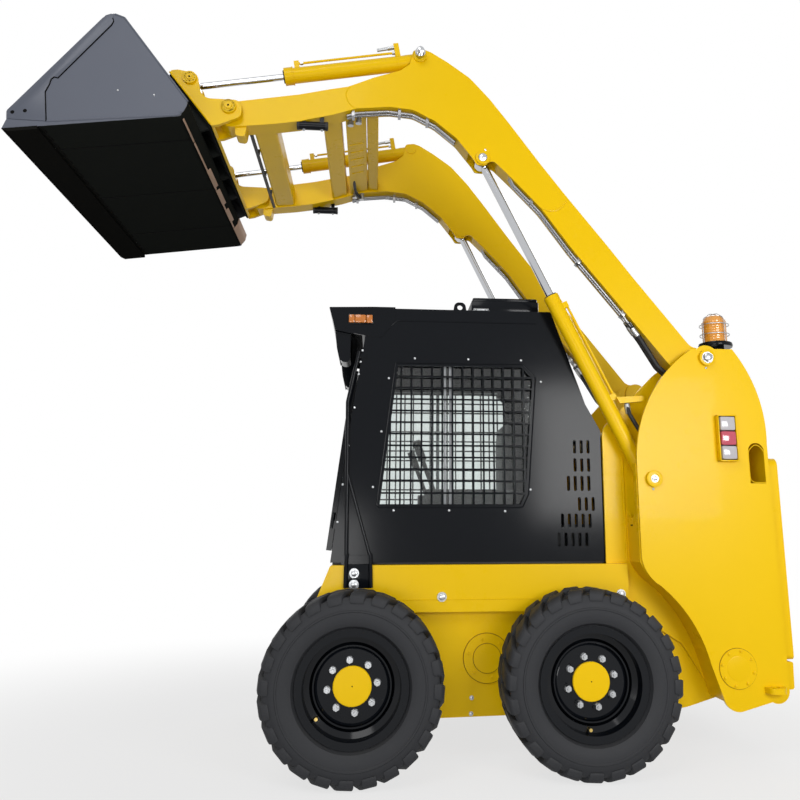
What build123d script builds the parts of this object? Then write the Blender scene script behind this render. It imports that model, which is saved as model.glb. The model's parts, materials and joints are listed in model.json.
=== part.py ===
"""Skid steer loader with a raised radius-lift boom and a general-purpose bucket.

Millimetres, +X forward, +Y to the machine's left, +Z up. Pieces are laid out from the ground under the
middle of the wheelbase, and the whole machine is then moved so that its origin is the middle of its base.
"""
from build123d import *
import math
import os

# ---------------------------------------------------------------- driving dimensions
clearance = 6                # between pieces that pass each other
seat = 0.3                   # between faces on different bodies that touch
pin_fit = 0.3                # radial room of a pin in its eye

# boom arms and cylinders
arm_centre_y = 520
arm_side_plate = 7
boss_proud = 5               # bosses stand this far off the arm's sides
boom_pivot = (-1139, 1789)
arm_hinge = (1158, 3000)     # boom tip, where the tool carrier turns
lift_base = (-850, 1220)
lift_pin = (-86, 2802)
lift_barrel_radius = 38
lift_rod_radius = 20
lift_gland_from_base = 985
lift_shortest = 1076         # base pin to rod pin with the boom lowered
barrel_side_room = 5         # lift barrel to the arm's side plates, in the arm's pocket
tilt_base = (230, 3348)
tilt_pin = (1351, 3143)
tilt_barrel_radius = 40
tilt_rod_radius = 16
tilt_gland_from_base = 690
pin_radius = 19              # cylinder pins
pivot_pin_radius = 26        # boom pivot and carrier hinge pins
eye_width = 56
eye_radius = 37
arm_width = 2 * (lift_barrel_radius + barrel_side_room + arm_side_plate)
arm_low_y = arm_centre_y - arm_width / 2
arm_high_y = arm_centre_y + arm_width / 2

# rear towers, one plate each side of the arm
tower_inner_plate = 12
tower_outer_plate = 15
tower_spacer = 45            # arm's outer side to the outer plate
tower_inner_y = arm_low_y - boss_proud - clearance - tower_inner_plate
tower_outer_y = arm_high_y + tower_spacer + tower_outer_plate
tower_rear_x = -1404

# wheels
wheelbase = 989
tyre_radius = 376
tyre_width = 260
rim_radius = 228             # outside of the rim's flange
rim_seat_radius = 206
wheel_bolt_circle = 203.2
wheel_bolt_count = 8
wheel_bolt_radius = 8
wheel_bolt_turn = 38            # degrees from level to the first bolt
hub_cap_radius = 76
hub_flange_radius = 138
disc_recess = 100            # tyre's outer face to the wheel disc's outer face
disc_thickness = 10
tyre_outer_y = arm_high_y + clearance + tyre_width

# hull and deck
hull_half_width = tower_inner_y
hull_floor_z = 178
deck_overhang = 53           # deck beyond the hull's side
deck_half_width = hull_half_width + deck_overhang
deck_bottom_z = 642
deck_top_z = 840
deck_front_x = 669
deck_rear_x = -749

# cab
cab_half_width = tower_inner_y - clearance - 1
cab_mount_height = 10
cab_bottom_z = deck_top_z + cab_mount_height
cab_roof_z = 2050
cab_wall = 30
door_thickness = 24
door_gap = 6

# bucket
bucket_past_tyre = 21        # bucket's side beyond the tyre's outer face
bucket_half_width = tyre_outer_y + bucket_past_tyre
bucket_plate = 8
bucket_side_plate = 12
edge_past_side = 4           # blade's end beyond the bucket's side
edge_depth = 150             # worn blade under the bucket's lip
edge_thickness = 16

PARTS = {}


# ---------------------------------------------------------------- drawing helpers
def corner_wire(corners, place):
    """Closed wire through (u, v, radius) corners; a radius of 0 leaves the corner sharp."""
    count = len(corners)
    ends = []
    for index, (u, v, radius) in enumerate(corners):
        before = corners[index - 1]
        after = corners[(index + 1) % count]
        back = Vector(before[0] - u, before[1] - v).normalized()
        ahead = Vector(after[0] - u, after[1] - v).normalized()
        here = Vector(u, v)
        if radius == 0:
            ends.append((here, None, here))
            continue
        half = math.radians(back.get_angle(ahead)) / 2
        reach = radius / math.tan(half)
        middle_way = (back + ahead).normalized()
        middle = here + middle_way * (radius / math.sin(half) - radius)
        ends.append((here + back * reach, middle, here + ahead * reach))
    edges = []
    for index, (start, middle, end) in enumerate(ends):
        if middle is not None:
            edges.append(ThreePointArc(place(start), place(middle), place(end)))
        following = ends[(index + 1) % count][0]
        if (following - end).length > 0.01:
            edges.append(Line(place(end), place(following)))
    return Wire([edge.edge() for edge in edges])


def side_plate(corners, y_low, y_high):
    """Plate in a lengthwise upright plane, with (x, z) or (x, z, radius) corners."""
    full = [(c[0], c[1], c[2] if len(c) > 2 else 0) for c in corners]
    face = Face(corner_wire(full, lambda p: (p.X, y_low, p.Y)))
    return extrude(face, amount=y_high - y_low, dir=(0, 1, 0))


def level_plate(corners, z_low, z_high):
    """Plate lying level, with (x, y) or (x, y, radius) corners."""
    full = [(c[0], c[1], c[2] if len(c) > 2 else 0) for c in corners]
    face = Face(corner_wire(full, lambda p: (p.X, p.Y, z_low)))
    return extrude(face, amount=z_high - z_low, dir=(0, 0, 1))


def cross_plate(corners, x_low, x_high):
    """Plate standing across the machine, with (y, z) or (y, z, radius) corners."""
    full = [(c[0], c[1], c[2] if len(c) > 2 else 0) for c in corners]
    face = Face(corner_wire(full, lambda p: (x_low, p.X, p.Y)))
    return extrude(face, amount=x_high - x_low, dir=(1, 0, 0))


def arc_plate(start, steps, y_low, y_high):
    """Upright plate whose edge is lines (x, z) and arcs (middle x, middle z, end x, end z)."""
    edges = []
    here = start
    for step in steps:
        if len(step) == 2:
            edges.append(Line((here[0], y_low, here[1]), (step[0], y_low, step[1])))
            here = step
        else:
            middle = (step[0], y_low, step[1])
            end = (step[2], y_low, step[3])
            edges.append(ThreePointArc((here[0], y_low, here[1]), middle, end))
            here = (step[2], step[3])
    if here != start:
        edges.append(Line((here[0], y_low, here[1]), (start[0], y_low, start[1])))
    face = Face(Wire([edge.edge() for edge in edges]))
    return extrude(face, amount=y_high - y_low, dir=(0, 1, 0))


def block(x_low, x_high, y_low, y_high, z_low, z_high):
    """Straight box between its low and high sides."""
    middle = ((x_low + x_high) / 2, (y_low + y_high) / 2, (z_low + z_high) / 2)
    return Pos(*middle) * Box(x_high - x_low, y_high - y_low, z_high - z_low)


def bar(start, end, radius):
    """Round bar between two points in space."""
    start = Vector(*start)
    end = Vector(*end)
    run = end - start
    where = Plane(origin=start + run * 0.5, z_dir=run)
    return where * Cylinder(radius, run.length)


def cross_bar(point, radius, y_low, y_high):
    """Round bar across the machine at an (x, z) point."""
    return bar((point[0], y_low, point[1]), (point[0], y_high, point[1]), radius)


def along(start, end, distance, aside=0):
    """Point at a distance from start towards end, moved aside to the left of that way."""
    run = Vector(end[0] - start[0], end[1] - start[1]).normalized()
    return (start[0] + run.X * distance - run.Y * aside, start[1] + run.Y * distance + run.X * aside)


def reach(start, end):
    """Distance between two (x, z) points."""
    return math.hypot(end[0] - start[0], end[1] - start[1])


def inset(corners, depths):
    """Corners of an outline with each side (corner to next corner) moved inwards by its depth."""
    count = len(corners)
    turn = 0
    for index in range(count):
        a = corners[index]
        b = corners[(index + 1) % count]
        turn += a[0] * b[1] - b[0] * a[1]
    sign = 1 if turn > 0 else -1
    moved = []
    for index in range(count):
        before = corners[index - 1]
        here = corners[index]
        after = corners[(index + 1) % count]
        first = Vector(here[0] - before[0], here[1] - before[1]).normalized()
        second = Vector(after[0] - here[0], after[1] - here[1]).normalized()
        first_depth = depths[index - 1] * sign
        second_depth = depths[index] * sign
        p = Vector(here[0] - first.Y * first_depth, here[1] + first.X * first_depth)
        q = Vector(here[0] - second.Y * second_depth, here[1] + second.X * second_depth)
        cross = first.X * second.Y - first.Y * second.X
        if abs(cross) < 1e-6:
            moved.append((q.X, q.Y))
            continue
        gap = q - p
        along_first = (gap.X * second.Y - gap.Y * second.X) / cross
        moved.append((p.X + first.X * along_first, p.Y + first.Y * along_first))
    return moved


def both_sides(shape):
    """The shape and its mirror image across the centre plane."""
    return Part() + [shape, mirror(shape, about=Plane.XZ)]


def other_side(shape):
    """Mirror image across the centre plane."""
    return mirror(shape, about=Plane.XZ)


# ---------------------------------------------------------------- wheels
axle_z = tyre_radius
wheel_places = [
    # end, x
    ("front", wheelbase / 2),
    ("rear", -wheelbase / 2),
]
tyre_inner_y = tyre_outer_y - tyre_width
disc_outer_y = tyre_outer_y - disc_recess
axle_tube_radius = 62


def turned(profile, x, z):
    """Solid turned about a cross axis at (x, z) from a closed (y, radius) profile."""
    points = [(0, y, radius) for y, radius in profile]
    face = Face(Polyline(*points, close=True).wire())
    return Pos(x, 0, z) * revolve(face, axis=Axis.Y)


def make_tyre(x):
    """Tyre with flat tread, rounded shoulders and sidewalls that bulge out from the beads."""
    low, high = tyre_inner_y, tyre_outer_y
    bead = rim_seat_radius + 1
    tread_low = low + 18
    tread_high = high - 18
    profile = [
        (low + 34, bead),
        (low + 34, bead + 22),
        (low + 10, bead + 34),
        (low, bead + 74),
        (low + 4, tyre_radius - 34),
        (tread_low, tyre_radius - 8),
        (tread_low + 22, tyre_radius),
        (tread_high - 22, tyre_radius),
        (tread_high, tyre_radius - 8),
        (high - 4, tyre_radius - 34),
        (high, bead + 74),
        (high - 10, bead + 34),
        (high - 34, bead + 22),
        (high - 34, bead),
        (high - 52, bead),
        (high - 44, bead + 40),
        (high - 24, tyre_radius - 70),
        (high - 60, tyre_radius - 34),
        (low + 60, tyre_radius - 34),
        (low + 24, tyre_radius - 70),
        (low + 44, bead + 40),
        (low + 52, bead),
    ]
    return turned(profile, x, axle_z)


def make_wheel(x):
    """Drop-centre rim with its dished disc, the hub behind it and the yellow centre cap."""
    low = tyre_inner_y + 24
    high = tyre_outer_y - 24
    seat_radius = rim_seat_radius
    rim = turned([
        (low, rim_radius),
        (low + 8, rim_radius),
        (low + 10, seat_radius),
        (low + 52, seat_radius - 4),
        (low + 66, seat_radius - 26),
        (high - 66, seat_radius - 26),
        (high - 52, seat_radius - 4),
        (high - 10, seat_radius),
        (high - 8, rim_radius),
        (high, rim_radius),
        (high - 2, seat_radius - 8),
        (high - 50, seat_radius - 12),
        (high - 62, seat_radius - 34),
        (low + 62, seat_radius - 34),
        (low + 50, seat_radius - 12),
        (low + 2, seat_radius - 8),
    ], x, axle_z)
    disc = turned([
        (disc_outer_y - 34, seat_radius - 30),
        (disc_outer_y - 4, 152),
        (disc_outer_y, 142),
        (disc_outer_y, hub_cap_radius + 1),
        (disc_outer_y - disc_thickness, hub_cap_radius + 1),
        (disc_outer_y - disc_thickness, 136),
        (disc_outer_y - 14, 146),
        (disc_outer_y - 46, seat_radius - 32),
    ], x, axle_z)
    hub = turned([
        (hull_half_width + 28, 0),
        (hull_half_width + 28, 88),
        (disc_outer_y - 60, 88),
        (disc_outer_y - disc_thickness - 22, hub_flange_radius),
        (disc_outer_y - disc_thickness, hub_flange_radius),
        (disc_outer_y - disc_thickness, hub_cap_radius),
        (disc_outer_y + 6, hub_cap_radius),
        (disc_outer_y + 12, hub_cap_radius - 10),
        (disc_outer_y + 12, 0),
    ], x, axle_z)
    wheel = rim + disc + hub
    for number in range(wheel_bolt_count):
        turn = math.radians(360 / wheel_bolt_count * number + wheel_bolt_turn)
        bolt_x = x + wheel_bolt_circle / 2 * math.cos(turn)
        bolt_z = axle_z + wheel_bolt_circle / 2 * math.sin(turn)
        wheel += cross_bar((bolt_x, bolt_z), wheel_bolt_radius, disc_outer_y - 12, disc_outer_y + 14)
    return wheel


for end, place_x in wheel_places:
    PARTS["tyre_" + end + "_left"] = make_tyre(place_x)
    PARTS["wheel_" + end + "_left"] = make_wheel(place_x)
    PARTS["tyre_" + end + "_right"] = other_side(PARTS["tyre_" + end + "_left"])
    PARTS["wheel_" + end + "_right"] = other_side(PARTS["wheel_" + end + "_left"])


# ---------------------------------------------------------------- chassis
hull_front_x = 640
hull_rear_x = -1300
footwell = (40, 590, 270, 420)        # x low, x high, half width, floor z
engine_bay = (-1290, -380, 400, 230)  # x low, x high, half width, floor z
cover_centre = (-97, 432)             # chain case cover between the wheels
cover_radius = 105

hull_outline = [
    (hull_front_x, 560),
    (hull_front_x, 330, 60),
    (520, hull_floor_z, 60),
    (-1000, hull_floor_z + 26, 200),
    (hull_rear_x, 290, 0),
    (hull_rear_x, deck_bottom_z, 0),
    (hull_front_x, deck_bottom_z, 0),
]
deck_outline = [
    (deck_front_x, deck_bottom_z - 6),
    (deck_front_x, deck_bottom_z + 49, 12),
    (deck_front_x - 59, deck_top_z, 12),
    (deck_rear_x, deck_top_z),
    (deck_rear_x, deck_bottom_z - 6),
]


def make_chassis():
    """Welded hull with chain cases along both sides, the deck above it and the axle tubes."""
    hull = side_plate(hull_outline, -hull_half_width, hull_half_width)
    deck = side_plate(deck_outline, -deck_half_width, deck_half_width)
    rear_deck = block(hull_rear_x, deck_rear_x + 5, -tower_inner_y, tower_inner_y, deck_bottom_z - 10, deck_top_z)
    body = hull + deck + rear_deck
    low, high, half, floor = footwell
    body -= block(low, high, -half, half, floor, deck_top_z + 50)
    low, high, half, floor = engine_bay
    body -= block(low - 60, high, -half, half, floor, deck_top_z + 50)
    for end, x in wheel_places:
        tube = cross_bar((x, axle_z), axle_tube_radius, hull_half_width - 5, hull_half_width + 22)
        flange = cross_bar((x, axle_z), 104, hull_half_width - 5, hull_half_width + 12)
        body += both_sides(tube + flange)
    for x in (-620, 540):
        body += both_sides(block(x - 30, x + 30, 340, 420, deck_top_z - 5, cab_bottom_z))
    ring = cross_bar(cover_centre, cover_radius, hull_half_width - 5, hull_half_width + 8)
    inner = cross_bar(cover_centre, 62, hull_half_width - 5, hull_half_width + 14)
    body += both_sides(ring + inner)
    return body


PARTS["chassis_frame"] = make_chassis()

# engine, as one plain block in its bay
PARTS["engine_block"] = block(-1150, -520, -260, 260, engine_bay[3], 1020)


# ---------------------------------------------------------------- rear towers
tower_web = 12
web_front_x = -772
slot_low_z = 1044
slot_half_width = 58
pivot_boss_radius = 62
rear_slot = (-1348, 1201, 76, 186)    # centre x, bottom z, width, height
tie_down = (-1342, 650, 296)          # bore's x, y and lower z
tie_down_bore = 17
tie_down_thickness = 24

tower_edge_start = (-1072, 1833)
tower_edge = [
    # lines as (x, z), arcs as (middle x, middle z, end x, end z)
    (-1270, 1835),
    (-1372, 1640, tower_rear_x, 1380),
    (tower_rear_x - 8, 300),
    (-1370, 250, -1330, 256),
    (-1200, 222),
    (-1150, 225, -1116, 260),
    (-1064, 416),
    (-985, 605, -857, 749),
    (-810, 790, -776, 870),
    (-776, 1300),
    (-850, 1590, -1072, 1833),
]


def make_tower():
    """Left tower: outer and inner plates, front web notched for the lift cylinder, rear and lower webs."""
    outer_low = tower_outer_y - tower_outer_plate
    outer = arc_plate(tower_edge_start, tower_edge, outer_low, tower_outer_y)
    slot_x, slot_z, slot_width, slot_height = rear_slot
    slot = side_plate([
        (slot_x - slot_width / 2, slot_z),
        (slot_x + slot_width / 2, slot_z),
        (slot_x + slot_width / 2, slot_z + slot_height, slot_width / 2 - 1),
        (slot_x - slot_width / 2, slot_z + slot_height, slot_width / 2 - 1),
    ], outer_low - 5, tower_outer_y + 5)
    outer -= slot
    inner_high = tower_inner_y + tower_inner_plate
    inner = side_plate([
        (-661, deck_top_z),
        (-667, 1468, 80),
        (-930, 1730, 150),
        (-1060, 1826, 60),
        (-1275, 1826, 80),
        (tower_rear_x, 1500, 300),
        (tower_rear_x, 300, 40),
        (-1150, 240, 40),
        (-1000, deck_bottom_z - 160, 60),
        (deck_rear_x - 6, deck_bottom_z - 6, 60),
        (deck_rear_x - 6, deck_top_z),
    ], tower_inner_y, inner_high)
    web_low = inner_high - 2
    web_high = outer_low + 2
    front_web = cross_plate([
        (web_low, 850),
        (web_high, 850),
        (web_high, 1290),
        (arm_centre_y + slot_half_width, 1290),
        (arm_centre_y + slot_half_width, slot_low_z, slot_half_width - 1),
        (arm_centre_y - slot_half_width, slot_low_z, slot_half_width - 1),
        (arm_centre_y - slot_half_width, 1290),
        (web_low, 1290),
    ], web_front_x - tower_web, web_front_x)
    rear_web = block(tower_rear_x, tower_rear_x + tower_web, web_low, web_high, 330, 1480)
    floor_web = block(tower_rear_x, -1130, web_low, web_high, 330, 330 + tower_web)
    arch_web = arc_plate((-1070, 420), [
        (-985, 605, -857, 749),
        (-810, 790, -772, 852),
        (-784, 862),
        (-820, 800, -864, 760),
        (-996, 612, -1082, 424),
    ], web_low, web_high)
    lower_web = side_plate([
        (-1116, 262), (-1070, 420), (-1082, 424), (-1128, 266),
    ], web_low, web_high)
    sole = side_plate([
        (tower_rear_x, 300), (-1340, 262), (-1200, 228), (-1116, 262), (-1128, 272), (-1200, 242), (-1336, 274),
        (tower_rear_x, 314),
    ], web_low, web_high)
    eye_x, eye_y, eye_z = tie_down
    lug = level_plate([
        (eye_x - 44, tower_outer_y - 4), (eye_x + 44, tower_outer_y - 4), (eye_x + 36, eye_y + 34, 30),
        (eye_x - 36, eye_y + 34, 30),
    ], eye_z, eye_z + tie_down_thickness)
    lug -= bar((eye_x, eye_y, eye_z - 5), (eye_x, eye_y, eye_z + tie_down_thickness + 5), tie_down_bore)
    pivot_outer = cross_bar(boom_pivot, pivot_boss_radius, outer_low - 18, tower_outer_y)
    pivot_head = cross_bar(boom_pivot, 38, tower_outer_y, tower_outer_y + 16)
    pivot_inner = cross_bar(boom_pivot, pivot_boss_radius, tower_inner_y - 12, tower_inner_y)
    base_boss = cross_bar(lift_base, 44, outer_low - 20, tower_outer_y)
    base_head = cross_bar(lift_base, 36, tower_outer_y, tower_outer_y + 16)
    base_inner = cross_bar(lift_base, 44, inner_high, inner_high + 14)
    cover = cross_bar((-1184, 397), 84, tower_outer_y, tower_outer_y + 5)
    pivot_pin = cross_bar(boom_pivot, pivot_pin_radius, tower_inner_y, tower_outer_y)
    base_pin = cross_bar(lift_base, pin_radius, tower_inner_y, tower_outer_y)
    tower = outer + inner + front_web + rear_web + floor_web + arch_web + lower_web + sole
    tower += pivot_outer + pivot_head + pivot_inner + pivot_pin
    return tower + base_boss + base_head + base_inner + base_pin + cover + lug


# ---------------------------------------------------------------- rear of the body
hood_half_width = tower_inner_y
hood_outline = [
    (-690, 1400), (-690, 1470, 30), (-1200, 1440, 60), (-1385, 1372, 40), (-1385, 1334),
    (-1340, 1334), (-1340, 1344, 20), (-1190, 1414, 60), (-720, 1440, 30), (-720, 1400),
]
door_low_z = 424
door_high_z = 1322
rear_door_half_width = 596
rear_door_x = tower_rear_x - 12 - clearance
rear_door_depth = 40
rear_hinge = (rear_door_x - rear_door_depth, -rear_door_half_width - 12)
knuckle_radius = 8
hinge_pin_radius = 4
rear_knuckles = [
    # low z and high z of the tower's knuckle, the door's sits on top of it
    (560, 610),
    (1120, 1170),
]
bumper_outline = [
    (hull_rear_x, 300), (hull_rear_x, 404), (-1440, 404, 14), (-1452, 312, 20), (-1400, 272, 20), (-1310, 290),
]
bumper_bar = [
    (-1417, 300), (-1417, 416), (-1456, 416, 8), (-1452, 300, 12),
]


def make_rear_hinges():
    """The right tower's half of the rear door's hinges: knuckles, their leaves and the upright pins."""
    x, y = rear_hinge
    hinges = Part()
    for low_z, high_z in rear_knuckles:
        hinges += bar((x, y, low_z), (x, y, high_z), knuckle_radius)
        hinges += bar((x, y, low_z), (x, y, 2 * high_z - low_z), hinge_pin_radius)
        leaf_y = -tower_outer_y + tower_outer_plate
        hinges += block(x - 4, tower_rear_x + 4, leaf_y - 5, y - 2, low_z, high_z)
    return hinges


PARTS["tower_left"] = make_tower()
PARTS["tower_right"] = other_side(PARTS["tower_left"]) + make_rear_hinges()


def make_hood():
    """Engine hood between the towers, with turned-down sides and a row of cooling slots."""
    hood = side_plate(hood_outline, -hood_half_width, hood_half_width)
    skirt = side_plate([
        (-690, 1400), (-690, 1466), (-1200, 1436), (-1384, 1368), (-1384, 1334), (-1200, 1380),
    ], hood_half_width - 6, hood_half_width)
    hood += both_sides(skirt)
    for row in range(9):
        x = -820 - row * 44
        hood -= block(x - 9, x + 9, -300, 300, 1400, 1480)
    return hood


def make_rear_door():
    """Full-width rear door: a shallow pan with a louvred air grille and its two hinge knuckles."""
    back = rear_door_x - rear_door_depth
    skin = cross_plate([
        (-rear_door_half_width, door_low_z, 20),
        (rear_door_half_width, door_low_z, 20),
        (rear_door_half_width, door_high_z, 40),
        (-rear_door_half_width, door_high_z, 40),
    ], back, rear_door_x)
    pan = cross_plate([
        (-rear_door_half_width + 30, door_low_z + 30),
        (rear_door_half_width - 30, door_low_z + 30),
        (rear_door_half_width - 30, door_high_z - 30),
        (-rear_door_half_width + 30, door_high_z - 30),
    ], back + 6, rear_door_x + 1)
    door = skin - pan
    for row in range(12):
        z = 760 + row * 38
        door -= block(back - 5, back + 8, -330, 330, z, z + 18)
    door += block(back - 22, back + 1, 440, 540, 860, 900)
    x, y = rear_hinge
    for low_z, high_z in rear_knuckles:
        top_z = 2 * high_z - low_z
        door += bar((x, y, high_z + 1), (x, y, top_z), knuckle_radius)
        door += block(x, x + 7, y, -rear_door_half_width + 2, high_z + 1, top_z)
        door -= bar((x, y, high_z - 5), (x, y, top_z + 5), hinge_pin_radius + pin_fit)
    return door


PARTS["engine_hood"] = make_hood()
PARTS["rear_door"] = make_rear_door()
PARTS["rear_bumper"] = side_plate(bumper_outline, -tower_inner_y + 1, tower_inner_y - 1) + side_plate(
    bumper_bar, -rear_door_half_width, rear_door_half_width)


# ---------------------------------------------------------------- cab
front_low = (614, cab_bottom_z)
front_knee = (528, 1567)
front_high = (478, cab_roof_z - 143)
cab_outline = [
    front_low, front_knee, front_high, (460, cab_roof_z), (-436, cab_roof_z), (-594, 1589), (-663, 1461),
    (-663, cab_bottom_z),
]
cab_depths = [cab_wall] * 8
bulkhead_x = -436            # between the cab and the engine space behind it
window_outline = [
    # mesh window in each side
    (330, 1781, 20), (-290, 1782, 20), (-352, 1717, 20), (-306, 1158, 20), (-276, 1096, 20), (411, 1096, 20),
]
front_opening = 348          # half width of the doorway
doorway_low_z = 930
doorway_high_z = cab_roof_z - 312
rear_window = (300, 1640, cab_roof_z - 60)      # half width, low z, high z
vent_rows = [
    # low z, height, slots, rear x
    (1351, 64, 3, -607), (1264, 64, 3, -607), (1173, 72, 4, -605), (1080, 64, 3, -622), (1002, 66, 5, -604),
    (918, 62, 5, -585),
]
vent_pitch = 33
vent_width = 15


def on_front(z, ahead=0):
    """Point of the cab's sloping front at a height, moved ahead at right angles to it."""
    low, high = (front_low, front_knee) if z < front_knee[1] else (front_knee, front_high)
    share = (z - low[1]) / (high[1] - low[1])
    x = low[0] + (high[0] - low[0]) * share
    lean = math.atan2(low[0] - high[0], high[1] - low[1])
    return (x + ahead * math.cos(lean), z + ahead * math.sin(lean))


roof_eye = (13, 390, cab_roof_z + 24)           # bore's x, plate's low y, z
roof_eye_bore = 13
roof_eye_thickness = 12


def make_cab():
    """Cab shell, one wall thick, with its doorway, side windows, rear window and side cooling slots."""
    inside = inset(cab_outline, cab_depths)
    cab = side_plate(cab_outline, -cab_half_width, cab_half_width)
    cab -= side_plate(inside, -cab_half_width + cab_wall, cab_half_width - cab_wall)
    cab -= side_plate(window_outline, -cab_half_width - 10, cab_half_width + 10)
    doorway = side_plate([
        on_front(doorway_low_z, -70), on_front(doorway_low_z, 40),
        on_front(front_knee[1], 40), on_front(doorway_high_z, 40),
        on_front(doorway_high_z, -70), on_front(front_knee[1], -70),
    ], -front_opening, front_opening)
    cab -= doorway
    half, low, high = rear_window
    cab -= block(-700, -380, -half, half, low, high)
    low, high, half, floor = footwell
    cab -= block(low, high - 30, -half, half, cab_bottom_z - 10, cab_bottom_z + cab_wall + 10)
    inner_half = cab_half_width - cab_wall
    cab -= block(-700, bulkhead_x - cab_wall, -inner_half, inner_half, cab_bottom_z - 10, 1440)
    cab += side_plate([
        (bulkhead_x, cab_bottom_z), (bulkhead_x, 1380), (-558, 1600), (-590, 1590), (bulkhead_x - cab_wall, 1370),
        (bulkhead_x - cab_wall, cab_bottom_z),
    ], -inner_half, inner_half)
    for low_z, height, slots, rear_x in vent_rows:
        for number in range(slots):
            x = rear_x + vent_pitch * number
            cut = side_plate([
                (x, low_z, vent_width / 2 - 0.5), (x + vent_width, low_z, vent_width / 2 - 0.5),
                (x + vent_width, low_z + height, vent_width / 2 - 0.5), (x, low_z + height, vent_width / 2 - 0.5),
            ], cab_half_width - cab_wall - 5, cab_half_width + 5)
            cab -= both_sides(cut)
    eye_x, eye_y, eye_z = roof_eye
    lug = side_plate([
        (eye_x - 34, cab_roof_z - 4), (eye_x + 34, cab_roof_z - 4), (eye_x + 26, eye_z + 26, 24),
        (eye_x - 26, eye_z + 26, 24),
    ], eye_y, eye_y + roof_eye_thickness)
    lug -= cross_bar((eye_x, eye_z), roof_eye_bore, eye_y - 5, eye_y + roof_eye_thickness + 5)
    return cab + both_sides(lug)


visor_ceiling_z = cab_roof_z - 9
visor_outline = [
    # brow over the doorway: from the tip back along the roof, down the cab's side and forward again
    (654, cab_roof_z, 4), (440, cab_roof_z + 6), (334, cab_roof_z + 6), (334, cab_roof_z - 65, 20),
    (400, cab_roof_z - 147, 24), (494, cab_roof_z - 136, 30), (622, cab_roof_z - 112, 6),
]
lamp_outline = [
    # work lamp under the brow, its glass leaning forward
    (618, cab_roof_z - 110), (608, cab_roof_z - 200, 20), (592, cab_roof_z - 266, 24),
    (548, cab_roof_z - 268, 20), (548, cab_roof_z - 115),
]
lamp_low_y = 300
lamp_high_y = 420


def make_visor():
    """Brow over the doorway, an open tray of bent plate with the work lamps under it."""
    outer = side_plate(visor_outline, -cab_half_width - 4, cab_half_width + 4)
    hollow = side_plate([
        (644, visor_ceiling_z), (492, visor_ceiling_z), (492, cab_roof_z - 160), (618, cab_roof_z - 160),
    ], -cab_half_width + 4, cab_half_width - 4)
    rear_cut = side_plate(cab_outline, -cab_half_width - 0.1, cab_half_width + 0.1)
    return outer - hollow - rear_cut


def make_work_lamps():
    """The two work lamps under the brow, each with the stalk that it hangs from."""
    lamp = side_plate(lamp_outline, lamp_low_y, lamp_high_y)
    middle_y = (lamp_low_y + lamp_high_y) / 2
    stalk = block(574, 592, middle_y - 14, middle_y + 14, cab_roof_z - 120, visor_ceiling_z)
    return both_sides(lamp + stalk)


PARTS["cab_shell"] = make_cab()
PARTS["cab_visor"] = make_visor()
PARTS["work_lamps"] = make_work_lamps()

guard_recess = 2             # guard's face behind the cab's side
guard_thickness = 6
guard_columns = 15
guard_rows = 12
guard_rim = 15
guard_web = 8                # metal left between neighbouring holes


def make_side_guard():
    """Flat window guard that fills the side window: a plate with a field of square holes."""
    high_y = cab_half_width - guard_recess
    low_y = high_y - guard_thickness
    outline = [(x, z) for x, z, radius in window_outline]
    lowest_x = min(x for x, z in outline) + guard_rim
    lowest_z = min(z for x, z in outline) + guard_rim
    pitch_x = (max(x for x, z in outline) - guard_rim + guard_web - lowest_x) / guard_columns
    pitch_z = (max(z for x, z in outline) - guard_rim + guard_web - lowest_z) / guard_rows
    holes = []
    for column in range(guard_columns):
        for row in range(guard_rows):
            x = lowest_x + column * pitch_x
            z = lowest_z + row * pitch_z
            holes.append(block(x, x + pitch_x - guard_web, low_y - 2, high_y + 2, z, z + pitch_z - guard_web))
    field = side_plate(inset(outline, [guard_rim] * len(outline)), low_y - 1, high_y + 1)
    return side_plate(window_outline, low_y, high_y) - (Part() + holes & field)


PARTS["side_guards"] = both_sides(make_side_guard())
PARTS["side_glass"] = both_sides(side_plate(
    window_outline, cab_half_width - cab_wall, cab_half_width - cab_wall + 5))
PARTS["roof_box"] = block(-384, -45, -400, 400, cab_roof_z, cab_roof_z + 80)


def make_seat():
    """Operator's seat: cushion and backrest on a pan box with armrests."""
    pan = block(-330, 40, -190, 190, cab_bottom_z + cab_wall, 1010)
    cushion = side_plate([(-300, 1010), (90, 1010), (110, 1050, 30), (80, 1110, 40), (-300, 1085)], -230, 230)
    back = side_plate([(-300, 1085), (-210, 1085, 20), (-270, 1560, 30), (-345, 1560, 40), (-385, 1085)], -220, 220)
    return pan + cushion + back


def make_levers():
    """Two side consoles with drive levers and grips."""
    console = block(-250, 180, 250, 330, cab_bottom_z + cab_wall + 180, 1180)
    stand = block(-200, -100, 250, 330, cab_bottom_z + cab_wall, cab_bottom_z + cab_wall + 181)
    lever = bar((130, 290, 1170), (190, 290, 1330), 11)
    grip = bar((188, 290, 1325), (222, 286, 1420), 20)
    return both_sides(console + stand + lever + grip)


PARTS["seat"] = make_seat()
PARTS["drive_levers"] = make_levers()

# bars and lamps
beacon_x = -1264
beacon_y = arm_centre_y - 60
beacon_radius = 60
beacon_dome_z = 1984
PARTS["roof_beacon"] = (block(-1310, -1216, beacon_y - 40, beacon_y + 40, 1826, 1884)
                        + bar((beacon_x, beacon_y, 1880), (beacon_x, beacon_y, 1900), beacon_radius + 24)
                        + bar((beacon_x, beacon_y, 1900), (beacon_x, beacon_y, beacon_dome_z), beacon_radius)
                        + Pos(beacon_x, beacon_y, beacon_dome_z) * Sphere(beacon_radius))
lamp_corners = (-1250, -1160, 1300, 1514)


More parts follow.
